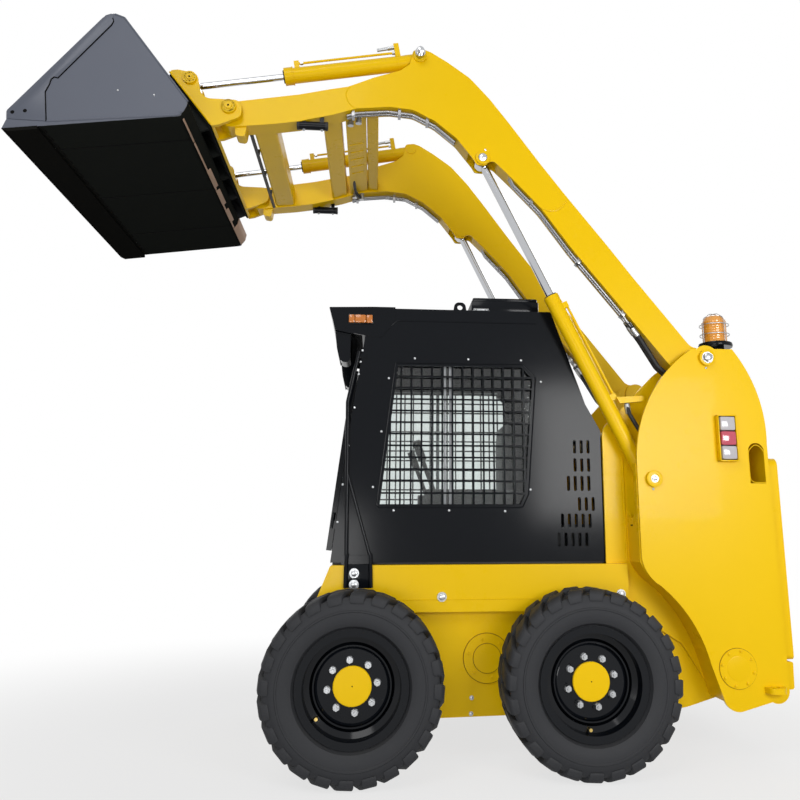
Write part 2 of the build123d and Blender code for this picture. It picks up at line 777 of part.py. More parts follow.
def make_tail_lamp():
    """Upright lamp cluster in its folded housing on the tower's outer plate."""
    low_x, high_x, low_z, high_z = lamp_corners
    housing = block(low_x, high_x, tower_outer_y, tower_outer_y + 34, low_z, high_z)
    lens = block(low_x + 4, high_x - 26, tower_outer_y + 30, tower_outer_y + 44, low_z + 6, high_z - 6)
    return housing + lens


PARTS["tail_lamps"] = both_sides(make_tail_lamp())
PARTS["marker_lamps"] = both_sides(block(
    440, 562, cab_half_width + 4, cab_half_width + 16, cab_roof_z - 82, cab_roof_z - 34))


bar_radius = 9


def make_guard_bars():
    """Bracket on the deck and the two round bars that rise from it along the front of the cab."""
    y = cab_half_width + clearance + bar_radius
    bracket = block(424, 562, y - 12, y + 12, deck_top_z, deck_top_z + 42)
    path = FilletPolyline((541, y, deck_top_z + 30), (553, y, 1585), (504, y, cab_roof_z - 220), radius=60)
    start = Plane(origin=path @ 0, z_dir=path % 0)
    front = sweep(start * Circle(bar_radius), path=path)
    rear = bar((432, y, deck_top_z + 30), (545, y, 1250), bar_radius - 2)
    hold = block(470, 513, cab_half_width, y - 5, cab_roof_z - 248, cab_roof_z - 232)
    return bracket + front + rear + hold


PARTS["guard_bars"] = both_sides(make_guard_bars())

# front door, hung on the cab's left front post
door_half_width = 372
door_low_edge = 900
door_high_edge = cab_roof_z - 302
front_hinge_y = door_half_width + 12
front_knuckles = [
    # low z and high z of the cab's knuckle, the door's sits on top of it
    (1000, 1036),
    (1420, 1456),
]


def on_hinge(z):
    """Point of the front door's hinge line at a height."""
    x, height = on_front(z, door_gap + door_thickness / 2)
    return (x, front_hinge_y, height)


def make_front_hinges():
    """The cab's half of the front door's hinges: knuckles, their leaves and the pins."""
    hinges = Part()
    for low_z, high_z in front_knuckles:
        hinges += bar(on_hinge(low_z), on_hinge(high_z), knuckle_radius)
        hinges += bar(on_hinge(low_z), on_hinge(2 * high_z - low_z), hinge_pin_radius)
        hinges += side_plate([
            on_front(low_z), on_front(low_z, door_gap + 6), on_front(high_z, door_gap + 6), on_front(high_z),
        ], front_hinge_y - 5, front_hinge_y + 12)
    return hinges


PARTS["cab_shell"] += make_front_hinges()


def make_front_door():
    """Sloping door frame, bent at the knee, with its pane cut out and two hinge knuckles."""
    gap = door_gap
    outer = [
        on_front(door_low_edge, gap), on_front(door_low_edge, gap + door_thickness),
        on_front(front_knee[1], gap + door_thickness), on_front(door_high_edge, gap + door_thickness),
        on_front(door_high_edge, gap), on_front(front_knee[1], gap),
    ]
    door = side_plate(outer, -door_half_width, door_half_width)
    pane_half = door_half_width - 60
    for low, high in ((door_low_edge + 70, front_knee[1] - 20), (front_knee[1] + 20, door_high_edge - 50)):
        cut = side_plate([
            on_front(low, -20), on_front(low, 70), on_front(high, 70), on_front(high, -20),
        ], -pane_half, pane_half)
        door -= cut
    for low_z, high_z in front_knuckles:
        top_z = 2 * high_z - low_z
        door += bar(on_hinge(high_z + 1), on_hinge(top_z), knuckle_radius)
        door += side_plate([
            on_front(high_z + 1, door_gap + 8), on_front(high_z + 1, door_gap + 18),
            on_front(top_z, door_gap + 18), on_front(top_z, door_gap + 8),
        ], door_half_width - 1, front_hinge_y)
        door -= bar(on_hinge(high_z - 5), on_hinge(top_z + 5), hinge_pin_radius + pin_fit)
    return door


def make_door_glass():
    """The door's two panes, set in the middle of its frame."""
    pane_half = door_half_width - 60
    panes = Part()
    for low, high in ((door_low_edge + 70, front_knee[1] - 20), (front_knee[1] + 20, door_high_edge - 50)):
        panes += side_plate([
            on_front(low, door_gap + 8), on_front(low, door_gap + 14),
            on_front(high, door_gap + 14), on_front(high, door_gap + 8),
        ], -pane_half, pane_half)
    return panes


PARTS["front_door"] = make_front_door()
PARTS["front_door_glass"] = make_door_glass()


# ---------------------------------------------------------------- boom
arm_outline = [
    # from the tip's top, down and back along the belly, round the pivot and forward over the top
    (1200, 3052, 36), (1222, 2950, 40), (1160, 2912, 40), (940, 2938, 60), (828, 2957, 60), (656, 3002),
    (547, 3040, 80), (381, 3058, 150), (262, 3048, 100), (150, 2990, 120), (44, 2902, 120), (-41, 2791, 30),
    (-56, 2764, 18), (-100, 2762, 18), (-131, 2799, 30), (-240, 2690, 100), (-374, 2547, 300), (-521, 2341),
    (-648, 2182), (-852, 1927), (-1016, 1721, 60), (-1207, 1721, 66), (-1207, 1848, 60), (-1094, 1852, 60),
    (-980, 1998), (-824, 2197), (-698, 2364), (-497, 2622), (-373, 2787), (-225, 2993, 120), (-125, 3126, 200),
    (-24, 3239, 200), (89, 3321, 160), (175, 3374, 40), (212, 3387, 30), (264, 3380, 20), (280, 3300, 30),
    (327, 3263, 60), (461, 3215, 90), (588, 3158, 90), (677, 3139), (824, 3103), (1118, 3051, 60),
]
eye_gap = (arm_width / 2) - arm_side_plate       # half width of the arm's pockets
pipe_radius = 6              # oil pipes along the cylinders
pipe_lift = 9                # lift cylinder's pipe beyond its barrel's side


def make_arm():
    """Left boom arm: a tapered box bent at the elbow, with open pockets for the cylinders' eyes."""
    arm = side_plate(arm_outline, arm_low_y, arm_high_y)
    low = arm_centre_y - eye_gap
    high = arm_centre_y + eye_gap
    barrel_room = lift_barrel_radius + clearance
    pipe_room = lift_barrel_radius + pipe_lift + pipe_radius + clearance
    down = along(lift_pin, (-504, 1817), 420)
    lift_pocket = side_plate([
        along(lift_pin, down, -50, 60), along(lift_pin, down, -50, -50), along(lift_pin, down, 60, -pipe_room),
        along(lift_pin, down, 400, -pipe_room), along(lift_pin, down, 400, barrel_room),
        along(lift_pin, down, 90, barrel_room), along(lift_pin, down, 60, 160), along(lift_pin, down, -10, 160),
    ], low, high)
    arm -= lift_pocket
    tilt_pocket = side_plate([
        along(tilt_base, tilt_pin, -52, -52), along(tilt_base, tilt_pin, 400, -52),
        along(tilt_base, tilt_pin, 400, 120), along(tilt_base, tilt_pin, -52, 120),
    ], low, high)
    arm -= tilt_pocket
    for pin in (lift_pin, tilt_base):
        arm += cross_bar(pin, 30, arm_high_y - 1, arm_high_y + boss_proud)
        arm += cross_bar(pin, 30, arm_low_y - boss_proud, arm_low_y + 1)
    arm += cross_bar(tilt_base, pin_radius, arm_low_y, arm_high_y)
    arm += cross_bar(boom_pivot, 58, arm_low_y - boss_proud, tower_outer_y - tower_outer_plate - 18 - 3)
    arm += cross_bar(arm_hinge, 46, arm_low_y - 6, arm_high_y + 6)
    arm += side_plate([
        (1132, 2930), (1127, 2874, 16), (1082, 2868, 16), (1074, 2930),
    ], arm_low_y + 10, arm_high_y - 10)
    for pin in (boom_pivot, arm_hinge):
        arm -= cross_bar(pin, pivot_pin_radius + pin_fit, arm_low_y - 50, arm_high_y + 50)
    return arm


PARTS["boom_arm_left"] = make_arm()
PARTS["boom_arm_right"] = other_side(PARTS["boom_arm_left"])


def make_cross_members():
    """The members that tie the two arms together near their front, the rear one a slotted plate box."""
    half = arm_low_y
    front = side_plate([
        (941, 2944, 12), (1052, 2932, 12), (1052, 3030, 12), (941, 3044, 12),
    ], -half, half)
    middle = side_plate([
        (623, 3024, 10), (713, 2994, 10), (713, 3074, 10), (623, 3100, 10),
    ], -half, half)
    plate = side_plate([
        (499, 3058), (601, 3030), (601, 3126, 8), (499, 3136, 8),
    ], -half, half)
    rear = side_plate([
        (434, 3060, 8), (494, 3062, 8), (494, 3122, 8), (434, 3124, 8),
    ], -half, half)
    for y in (-180, -90, 0, 90, 180):
        plate -= block(515, 587, y - 6, y + 6, 3000, 3200)
    return front + middle + plate + rear


PARTS["boom_cross_members"] = make_cross_members()


line_radius = 7
line_ys = (arm_centre_y + 1, arm_centre_y + 27)
front_lines = [(592, 3010), (541, 3027), (392, 3043), (262, 3032), (150, 2976), (50, 2892)]
rear_lines = [(-208, 2745), (-244, 2672), (-374, 2533), (-521, 2327), (-648, 2168), (-760, 2026), (-795, 1975)]
line_clips = [
    # x, z of the clips' middle
    (560, 3016), (330, 3030), (190, 2992), (-330, 2586), (-560, 2282), (-770, 2020),
]
hose_radius = 12
hose_route = [(-795, 1975), (-852, 1892), (-930, 1760), (-1010, 1690)]
cross_line = (1066, 2930)
cross_hose_radius = 9


def make_boom_lines():
    """Steel service lines clipped side by side under the belly of each arm."""
    lines = Part()
    for route in (front_lines, rear_lines):
        for y in line_ys:
            path = FilletPolyline(*[(x, y, z) for x, z in route], radius=30)
            start = Plane(origin=path @ 0, z_dir=path % 0)
            lines += sweep(start * Circle(line_radius), path=path)
    for x, z in line_clips:
        lines += block(x - 7, x + 7, line_ys[0] - 12, line_ys[1] + 12, z - 9, z + 24)
    return both_sides(lines - PARTS["boom_arm_left"])


def make_boom_hoses():
    """Rubber hoses that carry each arm's lines on into the tower, and the hose across the boom's tip."""
    hoses = Part()
    for y in line_ys:
        path = FilletPolyline(*[(x, y, z) for x, z in hose_route], radius=60)
        start = Plane(origin=path @ 0, z_dir=path % 0)
        hoses += sweep(start * Circle(hose_radius), path=path)
    hoses = both_sides(hoses) + cross_bar(cross_line, cross_hose_radius, -arm_low_y, arm_low_y)
    for y in (-260, 0, 260):
        hoses += block(1052, cross_line[0], y - 10, y + 10, cross_line[1] - 6, cross_line[1] + 16)
    return hoses


def make_boom_valves():
    """Pair of check valves clamped under the front of each arm."""
    valve = bar((686, arm_centre_y + 26, 2948), (830, arm_centre_y + 26, 2948), 21)
    for x in (712, 800):
        valve += block(x - 10, x + 10, arm_centre_y + 8, arm_centre_y + 44, 2948, 3000)
    return both_sides(valve - PARTS["boom_arm_left"])


PARTS["boom_hoses"] = make_boom_hoses()
PARTS["boom_valves"] = make_boom_valves()
PARTS["boom_lines"] = make_boom_lines()


# ---------------------------------------------------------------- cylinders
def make_barrel(base, pin, radius, gland_at, gland_radius):
    """Cylinder barrel with its rear eye, end cap and gland nut."""
    y = arm_centre_y
    start = along(base, pin, eye_radius - 4)
    cap_end = along(base, pin, eye_radius + 34)
    gland_start = along(base, pin, gland_at - 46)
    gland_end = along(base, pin, gland_at)
    eye = cross_bar(base, eye_radius, y - eye_width / 2, y + eye_width / 2)
    tube = bar((cap_end[0], y, cap_end[1]), (gland_start[0], y, gland_start[1]), radius - 1)
    cap = bar((start[0], y, start[1]), (cap_end[0], y, cap_end[1]), radius)
    gland = bar((gland_start[0], y, gland_start[1]), (gland_end[0], y, gland_end[1]), gland_radius)
    bore = cross_bar(base, pin_radius + pin_fit, y - eye_width, y + eye_width)
    return eye + cap + tube + gland - bore


def make_piping(base, pin, y, lift, front_port, rear_port):
    """Oil pipe beside a barrel, at a lift above its axis, between ports (near end, far end, height)."""
    pipe_start = along(base, pin, (rear_port[0] + rear_port[1]) / 2, lift)
    pipe_end = along(base, pin, (front_port[0] + front_port[1]) / 2, lift)
    piping = bar((pipe_start[0], y, pipe_start[1]), (pipe_end[0], y, pipe_end[1]), pipe_radius)
    for near, far, height in (front_port, rear_port):
        piping += side_plate([
            along(base, pin, near, 20), along(base, pin, far, 20),
            along(base, pin, far, height), along(base, pin, near, height),
        ], y - 13, y + 13)
    return piping


def make_rod(base, pin, radius, inside_at):
    """Chromed rod with the cross eye that takes the pin at its end."""
    y = arm_centre_y
    start = along(base, pin, inside_at)
    end = along(base, pin, reach(base, pin) - eye_radius + 8)
    rod = bar((start[0], y, start[1]), (end[0], y, end[1]), radius)
    return rod + cross_bar(pin, eye_radius, y - eye_width / 2, y + eye_width / 2)


def bored(barrel, base, pin, rod_radius, depth):
    """Barrel with the bore that its rod slides in."""
    y = arm_centre_y
    start = along(base, pin, depth)
    end = along(base, pin, 2000)
    return barrel - bar((start[0], y, start[1]), (end[0], y, end[1]), rod_radius + seat)


lift_rod_start = reach(lift_base, lift_pin) - (lift_shortest - eye_radius - 60)
tilt_rod_start = tilt_gland_from_base - 40
lift_barrel = make_barrel(lift_base, lift_pin, lift_barrel_radius, lift_gland_from_base, lift_barrel_radius)
lift_barrel += make_piping(
    lift_base, lift_pin, arm_centre_y + 14, lift_barrel_radius + pipe_lift, (900, 930, 52), (400, 430, 54))
lift_barrel += side_plate([
    (-715, 1608), (-845, 1615, 8), (-852, 1590, 8), (-732, 1578),
], arm_centre_y + 16, arm_centre_y + 40)
PARTS["lift_barrel_left"] = bored(lift_barrel, lift_base, lift_pin, lift_rod_radius, eye_radius + 30)
PARTS["lift_rod_left"] = make_rod(lift_base, lift_pin, lift_rod_radius, lift_rod_start)
tilt_barrel = make_barrel(tilt_base, tilt_pin, tilt_barrel_radius, tilt_gland_from_base, tilt_barrel_radius + 4)
tilt_barrel += make_piping(
    tilt_base, tilt_pin, arm_centre_y, tilt_barrel_radius + 25, (608, 634, 76), (92, 118, 112))
PARTS["tilt_barrel_left"] = bored(tilt_barrel, tilt_base, tilt_pin, tilt_rod_radius, eye_radius + 30)
PARTS["tilt_rod_left"] = make_rod(tilt_base, tilt_pin, tilt_rod_radius, tilt_rod_start)
lift_hose_route = [(-764, 1586), (-772, 1530), (-836, 1420), (-878, 1276)]


def make_lift_hose():
    """Rubber hose from the lift barrel's port down to its base, between the cylinder and the outer plate."""
    y = arm_centre_y + 28
    start_x, start_z = lift_hose_route[0]
    x, z = lift_hose_route[-1]
    points = [(start_x, y, start_z)] + [(x, y + 12, z) for x, z in lift_hose_route[1:]]
    path = FilletPolyline(*points, radius=40)
    start = Plane(origin=path @ 0, z_dir=path % 0)
    return sweep(start * Circle(10), path=path) - PARTS["lift_barrel_left"]


PARTS["lift_hose_left"] = make_lift_hose()
PARTS["lift_hose_right"] = other_side(PARTS["lift_hose_left"])
for cylinder in ("lift", "tilt"):
    for piece in ("barrel", "rod"):
        PARTS[cylinder + "_" + piece + "_right"] = other_side(PARTS[cylinder + "_" + piece + "_left"])


# ---------------------------------------------------------------- tool carrier and bucket
ear_thickness = 20
ear_inner_y = arm_low_y - 6 - clearance - 3          # inner ear's outer face
ear_outer_y = arm_high_y + 6 + clearance + 3         # outer ear's inner face
carrier_top = (1450, 3170)
carrier_foot = (1234, 2897)
face_run = reach(carrier_foot, carrier_top)
ear_outline = [
    (1450, 3180, 8), (1410, 3186, 20), (1318, 3170, 34), (1290, 3040, 58), (1098, 3038, 40),
    (1096, 2950, 36), (1203, 2903, 10), (1234, 2897),
]


def make_carrier():
    """Tool carrier: a pair of ears at each arm, joined by a top tube, a foot angle and a face plate."""
    inner = side_plate(ear_outline, ear_inner_y - ear_thickness, ear_inner_y)
    outer = side_plate(ear_outline, ear_outer_y, ear_outer_y + ear_thickness)
    ears = inner + outer
    for pin in (arm_hinge, tilt_pin):
        ears += cross_bar(pin, 32, ear_outer_y + ear_thickness - 1, ear_outer_y + ear_thickness + 12)
    ears += cross_bar(arm_hinge, pivot_pin_radius, ear_inner_y - ear_thickness, ear_outer_y + ear_thickness)
    eye_low = arm_centre_y - eye_width / 2 - 4
    eye_high = arm_centre_y + eye_width / 2 + 4
    ears += cross_bar(tilt_pin, 34, ear_inner_y - 1, eye_low)
    ears += cross_bar(tilt_pin, 34, eye_high, ear_outer_y + 1)
    body = both_sides(ears)
    wide = ear_outer_y + ear_thickness
    top = along(carrier_foot, carrier_top, face_run - 30, 30)
    body += bar((top[0], -ear_inner_y, top[1]), (top[0], ear_inner_y, top[1]), 26)
    foot = side_plate([
        along(carrier_foot, carrier_top, 0, 0), along(carrier_foot, carrier_top, 70, 0),
        along(carrier_foot, carrier_top, 70, 14), along(carrier_foot, carrier_top, 0, 14),
    ], -wide, wide)
    head = side_plate([
        along(carrier_foot, carrier_top, face_run - 60, 0), along(carrier_foot, carrier_top, face_run, 0),
        along(carrier_foot, carrier_top, face_run, 14), along(carrier_foot, carrier_top, face_run - 60, 14),
    ], -wide, wide)
    return body + foot + head


PARTS["tool_carrier"] = make_carrier()

mount_plate = 8              # plate of the bucket that lies on the carrier
nose = (2071, 2708)
lip_up = (2055, 2754)
side_front = (2059, 2795)
apex_front = (1690, 3282)
apex = (1646, 3303)
back_top = (1596, 3288)
heel_high = (1284, 2876)
heel = (1313, 2807)


def make_bucket():
    """Bucket: floor, curved heel and back in one bent plate, two side plates and the stand-off frame."""
    outline = [nose, lip_up, side_front, apex_front, apex, back_top, heel_high, heel]
    rounded = [
        (*nose, 0), (*lip_up, 0), (*side_front, 20), (*apex_front, 40), (*apex, 16), (*back_top, 36),
        (*heel_high, 40), (*heel, 60),
    ]
    body = side_plate(rounded, -bucket_half_width, bucket_half_width)
    deep = 400
    depths = [-deep, -deep, -deep, -deep, 10, bucket_plate, bucket_plate, bucket_plate]
    hollow = inset(outline, depths)
    trough = [
        (nose[0] + deep, hollow[0][1]),
        (nose[0] + deep, apex[1] + deep),
        (hollow[5][0] + deep, apex[1] + deep),
        (hollow[5][0], hollow[5][1]),
        (hollow[6][0], hollow[6][1], 40),
        (hollow[7][0], hollow[7][1], 60),
    ]
    floor_run = Vector(nose[0] - heel[0], nose[1] - heel[1]).normalized()
    far = (hollow[7][0] + floor_run.X * 1400, hollow[7][1] + floor_run.Y * 1400)
    trough[0] = far
    trough[1] = (far[0], apex[1] + deep)
    body -= side_plate(trough, -bucket_half_width + bucket_side_plate, bucket_half_width - bucket_side_plate)
    for y in (-560, -280, 0, 280, 560):
        body += side_plate([
            along(carrier_foot, carrier_top, 10), along(carrier_foot, carrier_top, face_run),
            along(heel_high, back_top, face_run, -4), along(heel_high, back_top, 10, -4),
        ], y - 8, y + 8)
    half = ear_outer_y + ear_thickness - 10
    body += side_plate([
        along(carrier_foot, carrier_top, 6, 0), along(carrier_foot, carrier_top, face_run - 6, 0),
        along(carrier_foot, carrier_top, face_run - 6, -mount_plate),
        along(carrier_foot, carrier_top, 6, -mount_plate),
    ], -half, half)
    return body


PARTS["bucket"] = make_bucket()


def make_edge():
    """Cutting edge: a bevelled blade under the lip across the whole width."""
    back = along(nose, heel, edge_depth)
    floor_run = Vector(heel[0] - nose[0], heel[1] - nose[1]).normalized()
    down = Vector(floor_run.Y, -floor_run.X)
    if down.Y > 0:
        down = down * -1
    tip = nose
    low_x = nose[0] + floor_run.X * 26 + down.X * edge_thickness
    low_z = nose[1] + floor_run.Y * 26 + down.Y * edge_thickness
    low = (low_x, low_z)
    low_back = (back[0] + down.X * edge_thickness, back[1] + down.Y * edge_thickness)
    half = bucket_half_width + edge_past_side
    return side_plate([tip, low, low_back, back], -half, half)


PARTS["cutting_edge"] = make_edge()


# ---------------------------------------------------------------- one machine, standing on its origin
boxes = [shape.bounding_box() for shape in PARTS.values()]
lowest_x = min(box.min.X for box in boxes)
highest_x = max(box.max.X for box in boxes)
lowest_z = min(box.min.Z for box in boxes)
shift_x = -(lowest_x + highest_x) / 2
shift_z = -lowest_z

os.makedirs("parts", exist_ok=True)
for name, shape in PARTS.items():
    export_step(Pos(shift_x, 0, shift_z) * shape, os.path.join("parts", name + ".step"))
print("moved by", round(shift_x, 3), round(shift_z, 3), "with", len(PARTS), "pieces")
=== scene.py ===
"""Looks of the skid steer loader: finishes on its CAD solids and the fine pieces around them."""
import json
import math

import bmesh
import bpy
from bpy.props import FloatProperty, FloatVectorProperty, IntProperty, PointerProperty
from mathutils import Matrix, Vector


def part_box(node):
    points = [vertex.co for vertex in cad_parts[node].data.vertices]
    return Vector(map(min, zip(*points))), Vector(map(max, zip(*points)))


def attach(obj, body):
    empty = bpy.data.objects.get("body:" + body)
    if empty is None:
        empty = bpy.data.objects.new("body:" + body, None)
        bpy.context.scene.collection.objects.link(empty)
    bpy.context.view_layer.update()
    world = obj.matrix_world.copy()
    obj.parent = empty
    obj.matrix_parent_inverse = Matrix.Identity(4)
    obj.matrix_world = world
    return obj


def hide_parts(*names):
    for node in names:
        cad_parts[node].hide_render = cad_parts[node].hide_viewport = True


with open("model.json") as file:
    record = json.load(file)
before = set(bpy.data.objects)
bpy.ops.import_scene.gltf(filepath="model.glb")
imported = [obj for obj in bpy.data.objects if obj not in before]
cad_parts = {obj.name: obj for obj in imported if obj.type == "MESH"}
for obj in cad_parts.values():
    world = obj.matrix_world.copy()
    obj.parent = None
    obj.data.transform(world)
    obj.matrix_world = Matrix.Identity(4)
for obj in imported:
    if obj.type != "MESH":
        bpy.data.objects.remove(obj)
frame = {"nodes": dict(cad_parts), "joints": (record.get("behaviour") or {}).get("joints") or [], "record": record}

bl_info = {
    "name": "Skid Steer Loader Looks",
    "version": (1, 0, 0),
    "blender": (4, 5, 0),
    "location": "View3D > Sidebar > Loader",
    "description": "Finishes and fine pieces around the packed loader",
    "category": "Object",
}

# ---------------------------------------------------------------- places on the machine
# Places are in millimetres, as at() takes them. Radii, bevels, bends and turned profiles are in metres.
MM = 0.001
NODES = frame["nodes"]
JOINTS = {joint["name"]: joint for joint in frame["joints"]}
FRONT_WHEEL = Vector(JOINTS["wheel_spin_front_left"]["pos_m"])
REAR_WHEEL = Vector(JOINTS["wheel_spin_rear_left"]["pos_m"])
WHEEL_MIDDLE_X = (FRONT_WHEEL.x + REAR_WHEEL.x) / 2
SIDES = (("left", 1), ("right", -1))
LEFT = Vector((0, 1, 0))
UP = Vector((0, 0, 1))

# outer faces, as y on the left side
CAB_SIDE = 440
HULL_SIDE = 447
DECK_SIDE = 500
ARM_SIDE = 570
EAR_SIDE = 605
TOWER_SIDE = 630
BUCKET_SIDE = 857
ARM_MIDDLE = 520             # middle of a boom arm and of its cylinders

# pins, as x and z
BOOM_HINGE = (-1139, 1789)
TILT_BASE = (230, 3348)
TILT_PIN = (1351, 3143)
CARRIER_PIN = (1158, 3000)
LIFT_BASE = (-850, 1220)
LIFT_PIN = (-86, 2802)


def at(x, y, z):
    """Place from millimetres: x ahead of the middle of the wheelbase, y to the left, z above the ground."""
    return Vector((WHEEL_MIDDLE_X + x * MM, y * MM, z * MM))


def beside(point, y):
    """Place of an (x, z) point at a y."""
    return at(point[0], y, point[1])


# ---------------------------------------------------------------- sizes and colours a user may change
def colour(name, description, default):
    return FloatVectorProperty(
        name=name, description=description, default=default, subtype="COLOR", min=0.0, max=1.0, size=3)


def length(name, description, default):
    return FloatProperty(name=name, description=description, default=default, unit="LENGTH", min=0.0)


def count(name, description, default):
    return IntProperty(name=name, description=description, default=default, min=1)


class LoaderFinishes(bpy.types.PropertyGroup):
    """Colours of the machine's finishes"""
    yellow: colour("Yellow paint", "Enamel of the hull, boom and towers", (0.80, 0.505, 0.001))
    black: colour("Black paint", "Enamel of the cab and rims", (0.004, 0.005, 0.007))
    bucket: colour("Bucket paint", "Satin paint under the bucket", (0.016, 0.0175, 0.016))
    # Blue grey of the side plates: partly their paint, partly a painted reflection of the sky.
    bucket_side_paint_and_sky_reflection: colour("Bucket side paint", "Paint of the bucket's outer side plates", (0.10, 0.11, 0.14))
    rubber: colour("Tyre rubber", "Tread and sidewalls", (0.024, 0.025, 0.028))
    amber: colour("Amber lens", "Beacon dome", (0.72, 0.30, 0.03))
    marker: colour("Marker lens", "Marker lamps on the visor", (0.50, 0.15, 0.012))
    red: colour("Red lens", "Tail lamps", (0.48, 0.05, 0.09))


class TyreSizes(bpy.types.PropertyGroup):
    """Tread of the tyres"""
    lugs: count("Lugs", "Lugs round each half of the tread", 24)
    lug_run: length("Lug length", "Length of a lug along the tread", 0.064)
    lug_slant: FloatProperty(name="Slant", description="Run of a lug for each length across", default=0.42)


class TrimSizes(bpy.types.PropertyGroup):
    """Fasteners, welds and seams"""
    bolt: length("Bolt", "Radius of a body bolt's head across its corners", 0.0165)
    screw: length("Screw", "Radius of a cab screw's head", 0.006)
    nut: length("Wheel nut", "Radius of a wheel nut across its corners", 0.0135)
    weld: length("Weld", "Radius of a weld bead", 0.005)
    seam: length("Seam", "Radius of a panel's folded seam", 0.003)


# ---------------------------------------------------------------- shader helpers
BUMP_DISTANCE = 0.001
COAT_ROUGHNESS = 0.06
BARE_SCUFF = (0.20, 0.20, 0.20, 1)
BUCKET_INSIDE = (0.022, 0.023, 0.025, 1)
MATERIALS = {}
GROUPS = {}


def put(tree, socket, value):
    """Feeds a socket from another one, or sets it to a plain value."""
    if isinstance(value, bpy.types.NodeSocket):
        tree.links.new(value, socket)
    else:
        socket.default_value = value


def add_node(tree, kind, values=None, **settings):
    """Node with its settings, and with its sockets fed or set."""
    node = tree.nodes.new(kind)
    for key, value in settings.items():
        setattr(node, key, value)
    for key, value in (values or {}).items():
        put(tree, node.inputs[key], value)
    return node


def math_node(tree, operation, *values, clamp=False):
    """Output of a math node on sockets or numbers."""
    node = add_node(tree, "ShaderNodeMath", dict(enumerate(values)), operation=operation, use_clamp=clamp)
    return node.outputs[0]


def plus(tree, first, second, clamp=False):
    return math_node(tree, "ADD", first, second, clamp=clamp)


def times(tree, first, second, clamp=False):
    return math_node(tree, "MULTIPLY", first, second, clamp=clamp)


def larger(tree, first, second):
    return math_node(tree, "MAXIMUM", first, second)


def mixed(tree, factor, first, second):
    """Mix of two colours."""
    return add_node(tree, "ShaderNodeMix", {0: factor, 6: first, 7: second}, data_type="RGBA").outputs[2]


def blended(tree, factor, first, second):
    """Mix of two shaders."""
    return add_node(tree, "ShaderNodeMixShader", {0: factor, 1: first, 2: second}).outputs[0]


def noise(tree, coordinates, scale, detail=3.0, roughness=0.5):
    """Noise pattern over the given coordinates."""
    return add_node(tree, "ShaderNodeTexNoise", {
        "Vector": coordinates, "Scale": scale, "Detail": detail, "Roughness": roughness}).outputs["Fac"]


def ramp(tree, value, low, high):
    """Value spread from 0 at low to 1 at high."""
    return add_node(tree, "ShaderNodeMapRange", {
        "Value": value, "From Min": low, "From Max": high}).outputs["Result"]


def object_place(tree):
    """Coordinates fixed to the object."""
    return tree.nodes.new("ShaderNodeTexCoord").outputs["Object"]


def split(tree, vector):
    """The three parts of a vector."""
    return add_node(tree, "ShaderNodeSeparateXYZ", {0: vector}).outputs


def new_group(name, inputs, outputs):
    """Empty node group from its inputs' defaults and its outputs; returns it and both its ends' sockets."""
    group = bpy.data.node_groups.new(name, "ShaderNodeTree")
    for label, default in inputs.items():
        kind = "NodeSocketColor" if isinstance(default, tuple) else "NodeSocketFloat"
        group.interface.new_socket(name=label, in_out="INPUT", socket_type=kind).default_value = default
    for label in outputs:
        kind = "NodeSocketColor" if label == "Colour" else "NodeSocketFloat"
        group.interface.new_socket(name=label, in_out="OUTPUT", socket_type=kind)
    given = group.nodes.new("NodeGroupInput").outputs
    made = group.nodes.new("NodeGroupOutput").inputs
    return group, given, made


def make_weathering_group():
    """Colour and roughness drift, dust on upward faces and wear along edges."""
    group, given, made = new_group("weathering", {
        "Colour": (0.5, 0.5, 0.5, 1), "Edge colour": (0.3, 0.3, 0.3, 1),
        "Dust colour": (0.35, 0.32, 0.27, 1), "Drift": 0.06, "Edge wear": 0.3, "Dust": 0.1,
        "Roughness": 0.3, "Roughness drift": 0.1,
    }, ["Colour", "Roughness"])
    place = object_place(group)
    geometry = group.nodes.new("ShaderNodeNewGeometry").outputs
    broad = times(group, noise(group, place, scale=1.7, detail=4.0, roughness=0.6), 0.65)
    fine = times(group, noise(group, place, scale=23.0, detail=5.0, roughness=0.6), 0.35)
    centred = math_node(group, "SUBTRACT", plus(group, broad, fine), 0.5)
    shade = plus(group, times(group, times(group, centred, given["Drift"]), 4.0), 1.0)
    tinted = add_node(group, "ShaderNodeVectorMath", {0: given["Colour"]}, operation="SCALE")
    put(group, tinted.inputs["Scale"], shade)
    edge = ramp(group, geometry["Pointiness"], 0.52, 0.62)
    broken = ramp(group, noise(group, place, scale=60.0, detail=6.0, roughness=0.7), 0.42, 0.6)
    edge_mask = times(group, times(group, edge, broken), given["Edge wear"], clamp=True)
    worn = mixed(group, edge_mask, tinted.outputs[0], given["Edge colour"])
    facing_up = ramp(group, split(group, geometry["Normal"])["Z"], 0.3, 1.0)
    patches = ramp(group, noise(group, place, scale=6.0, detail=5.0, roughness=0.65), 0.35, 0.75)
    dust_mask = times(group, times(group, facing_up, patches), given["Dust"], clamp=True)
    put(group, made["Colour"], mixed(group, dust_mask, worn, given["Dust colour"]))
    rough_drift = times(group, times(group, centred, given["Roughness drift"]), 3.0)
    dusty = plus(group, plus(group, rough_drift, given["Roughness"]), times(group, dust_mask, 0.6))
    put(group, made["Roughness"], plus(group, dusty, times(group, edge_mask, 0.15), clamp=True))
    return group


def make_grain_group():
    """Fine surface relief: waves of sprayed paint, pebbled plastic or cast skin."""
    group, given, made = new_group("grain", {"Scale": 300.0, "Broad share": 0.3}, ["Height"])
    place = object_place(group)
    fine = noise(group, place, given["Scale"], detail=2.0)
    broad = noise(group, place, times(group, given["Scale"], 0.06), detail=2.0)
    put(group, made["Height"], plus(group, fine, times(group, broad, given["Broad share"])))
    return group


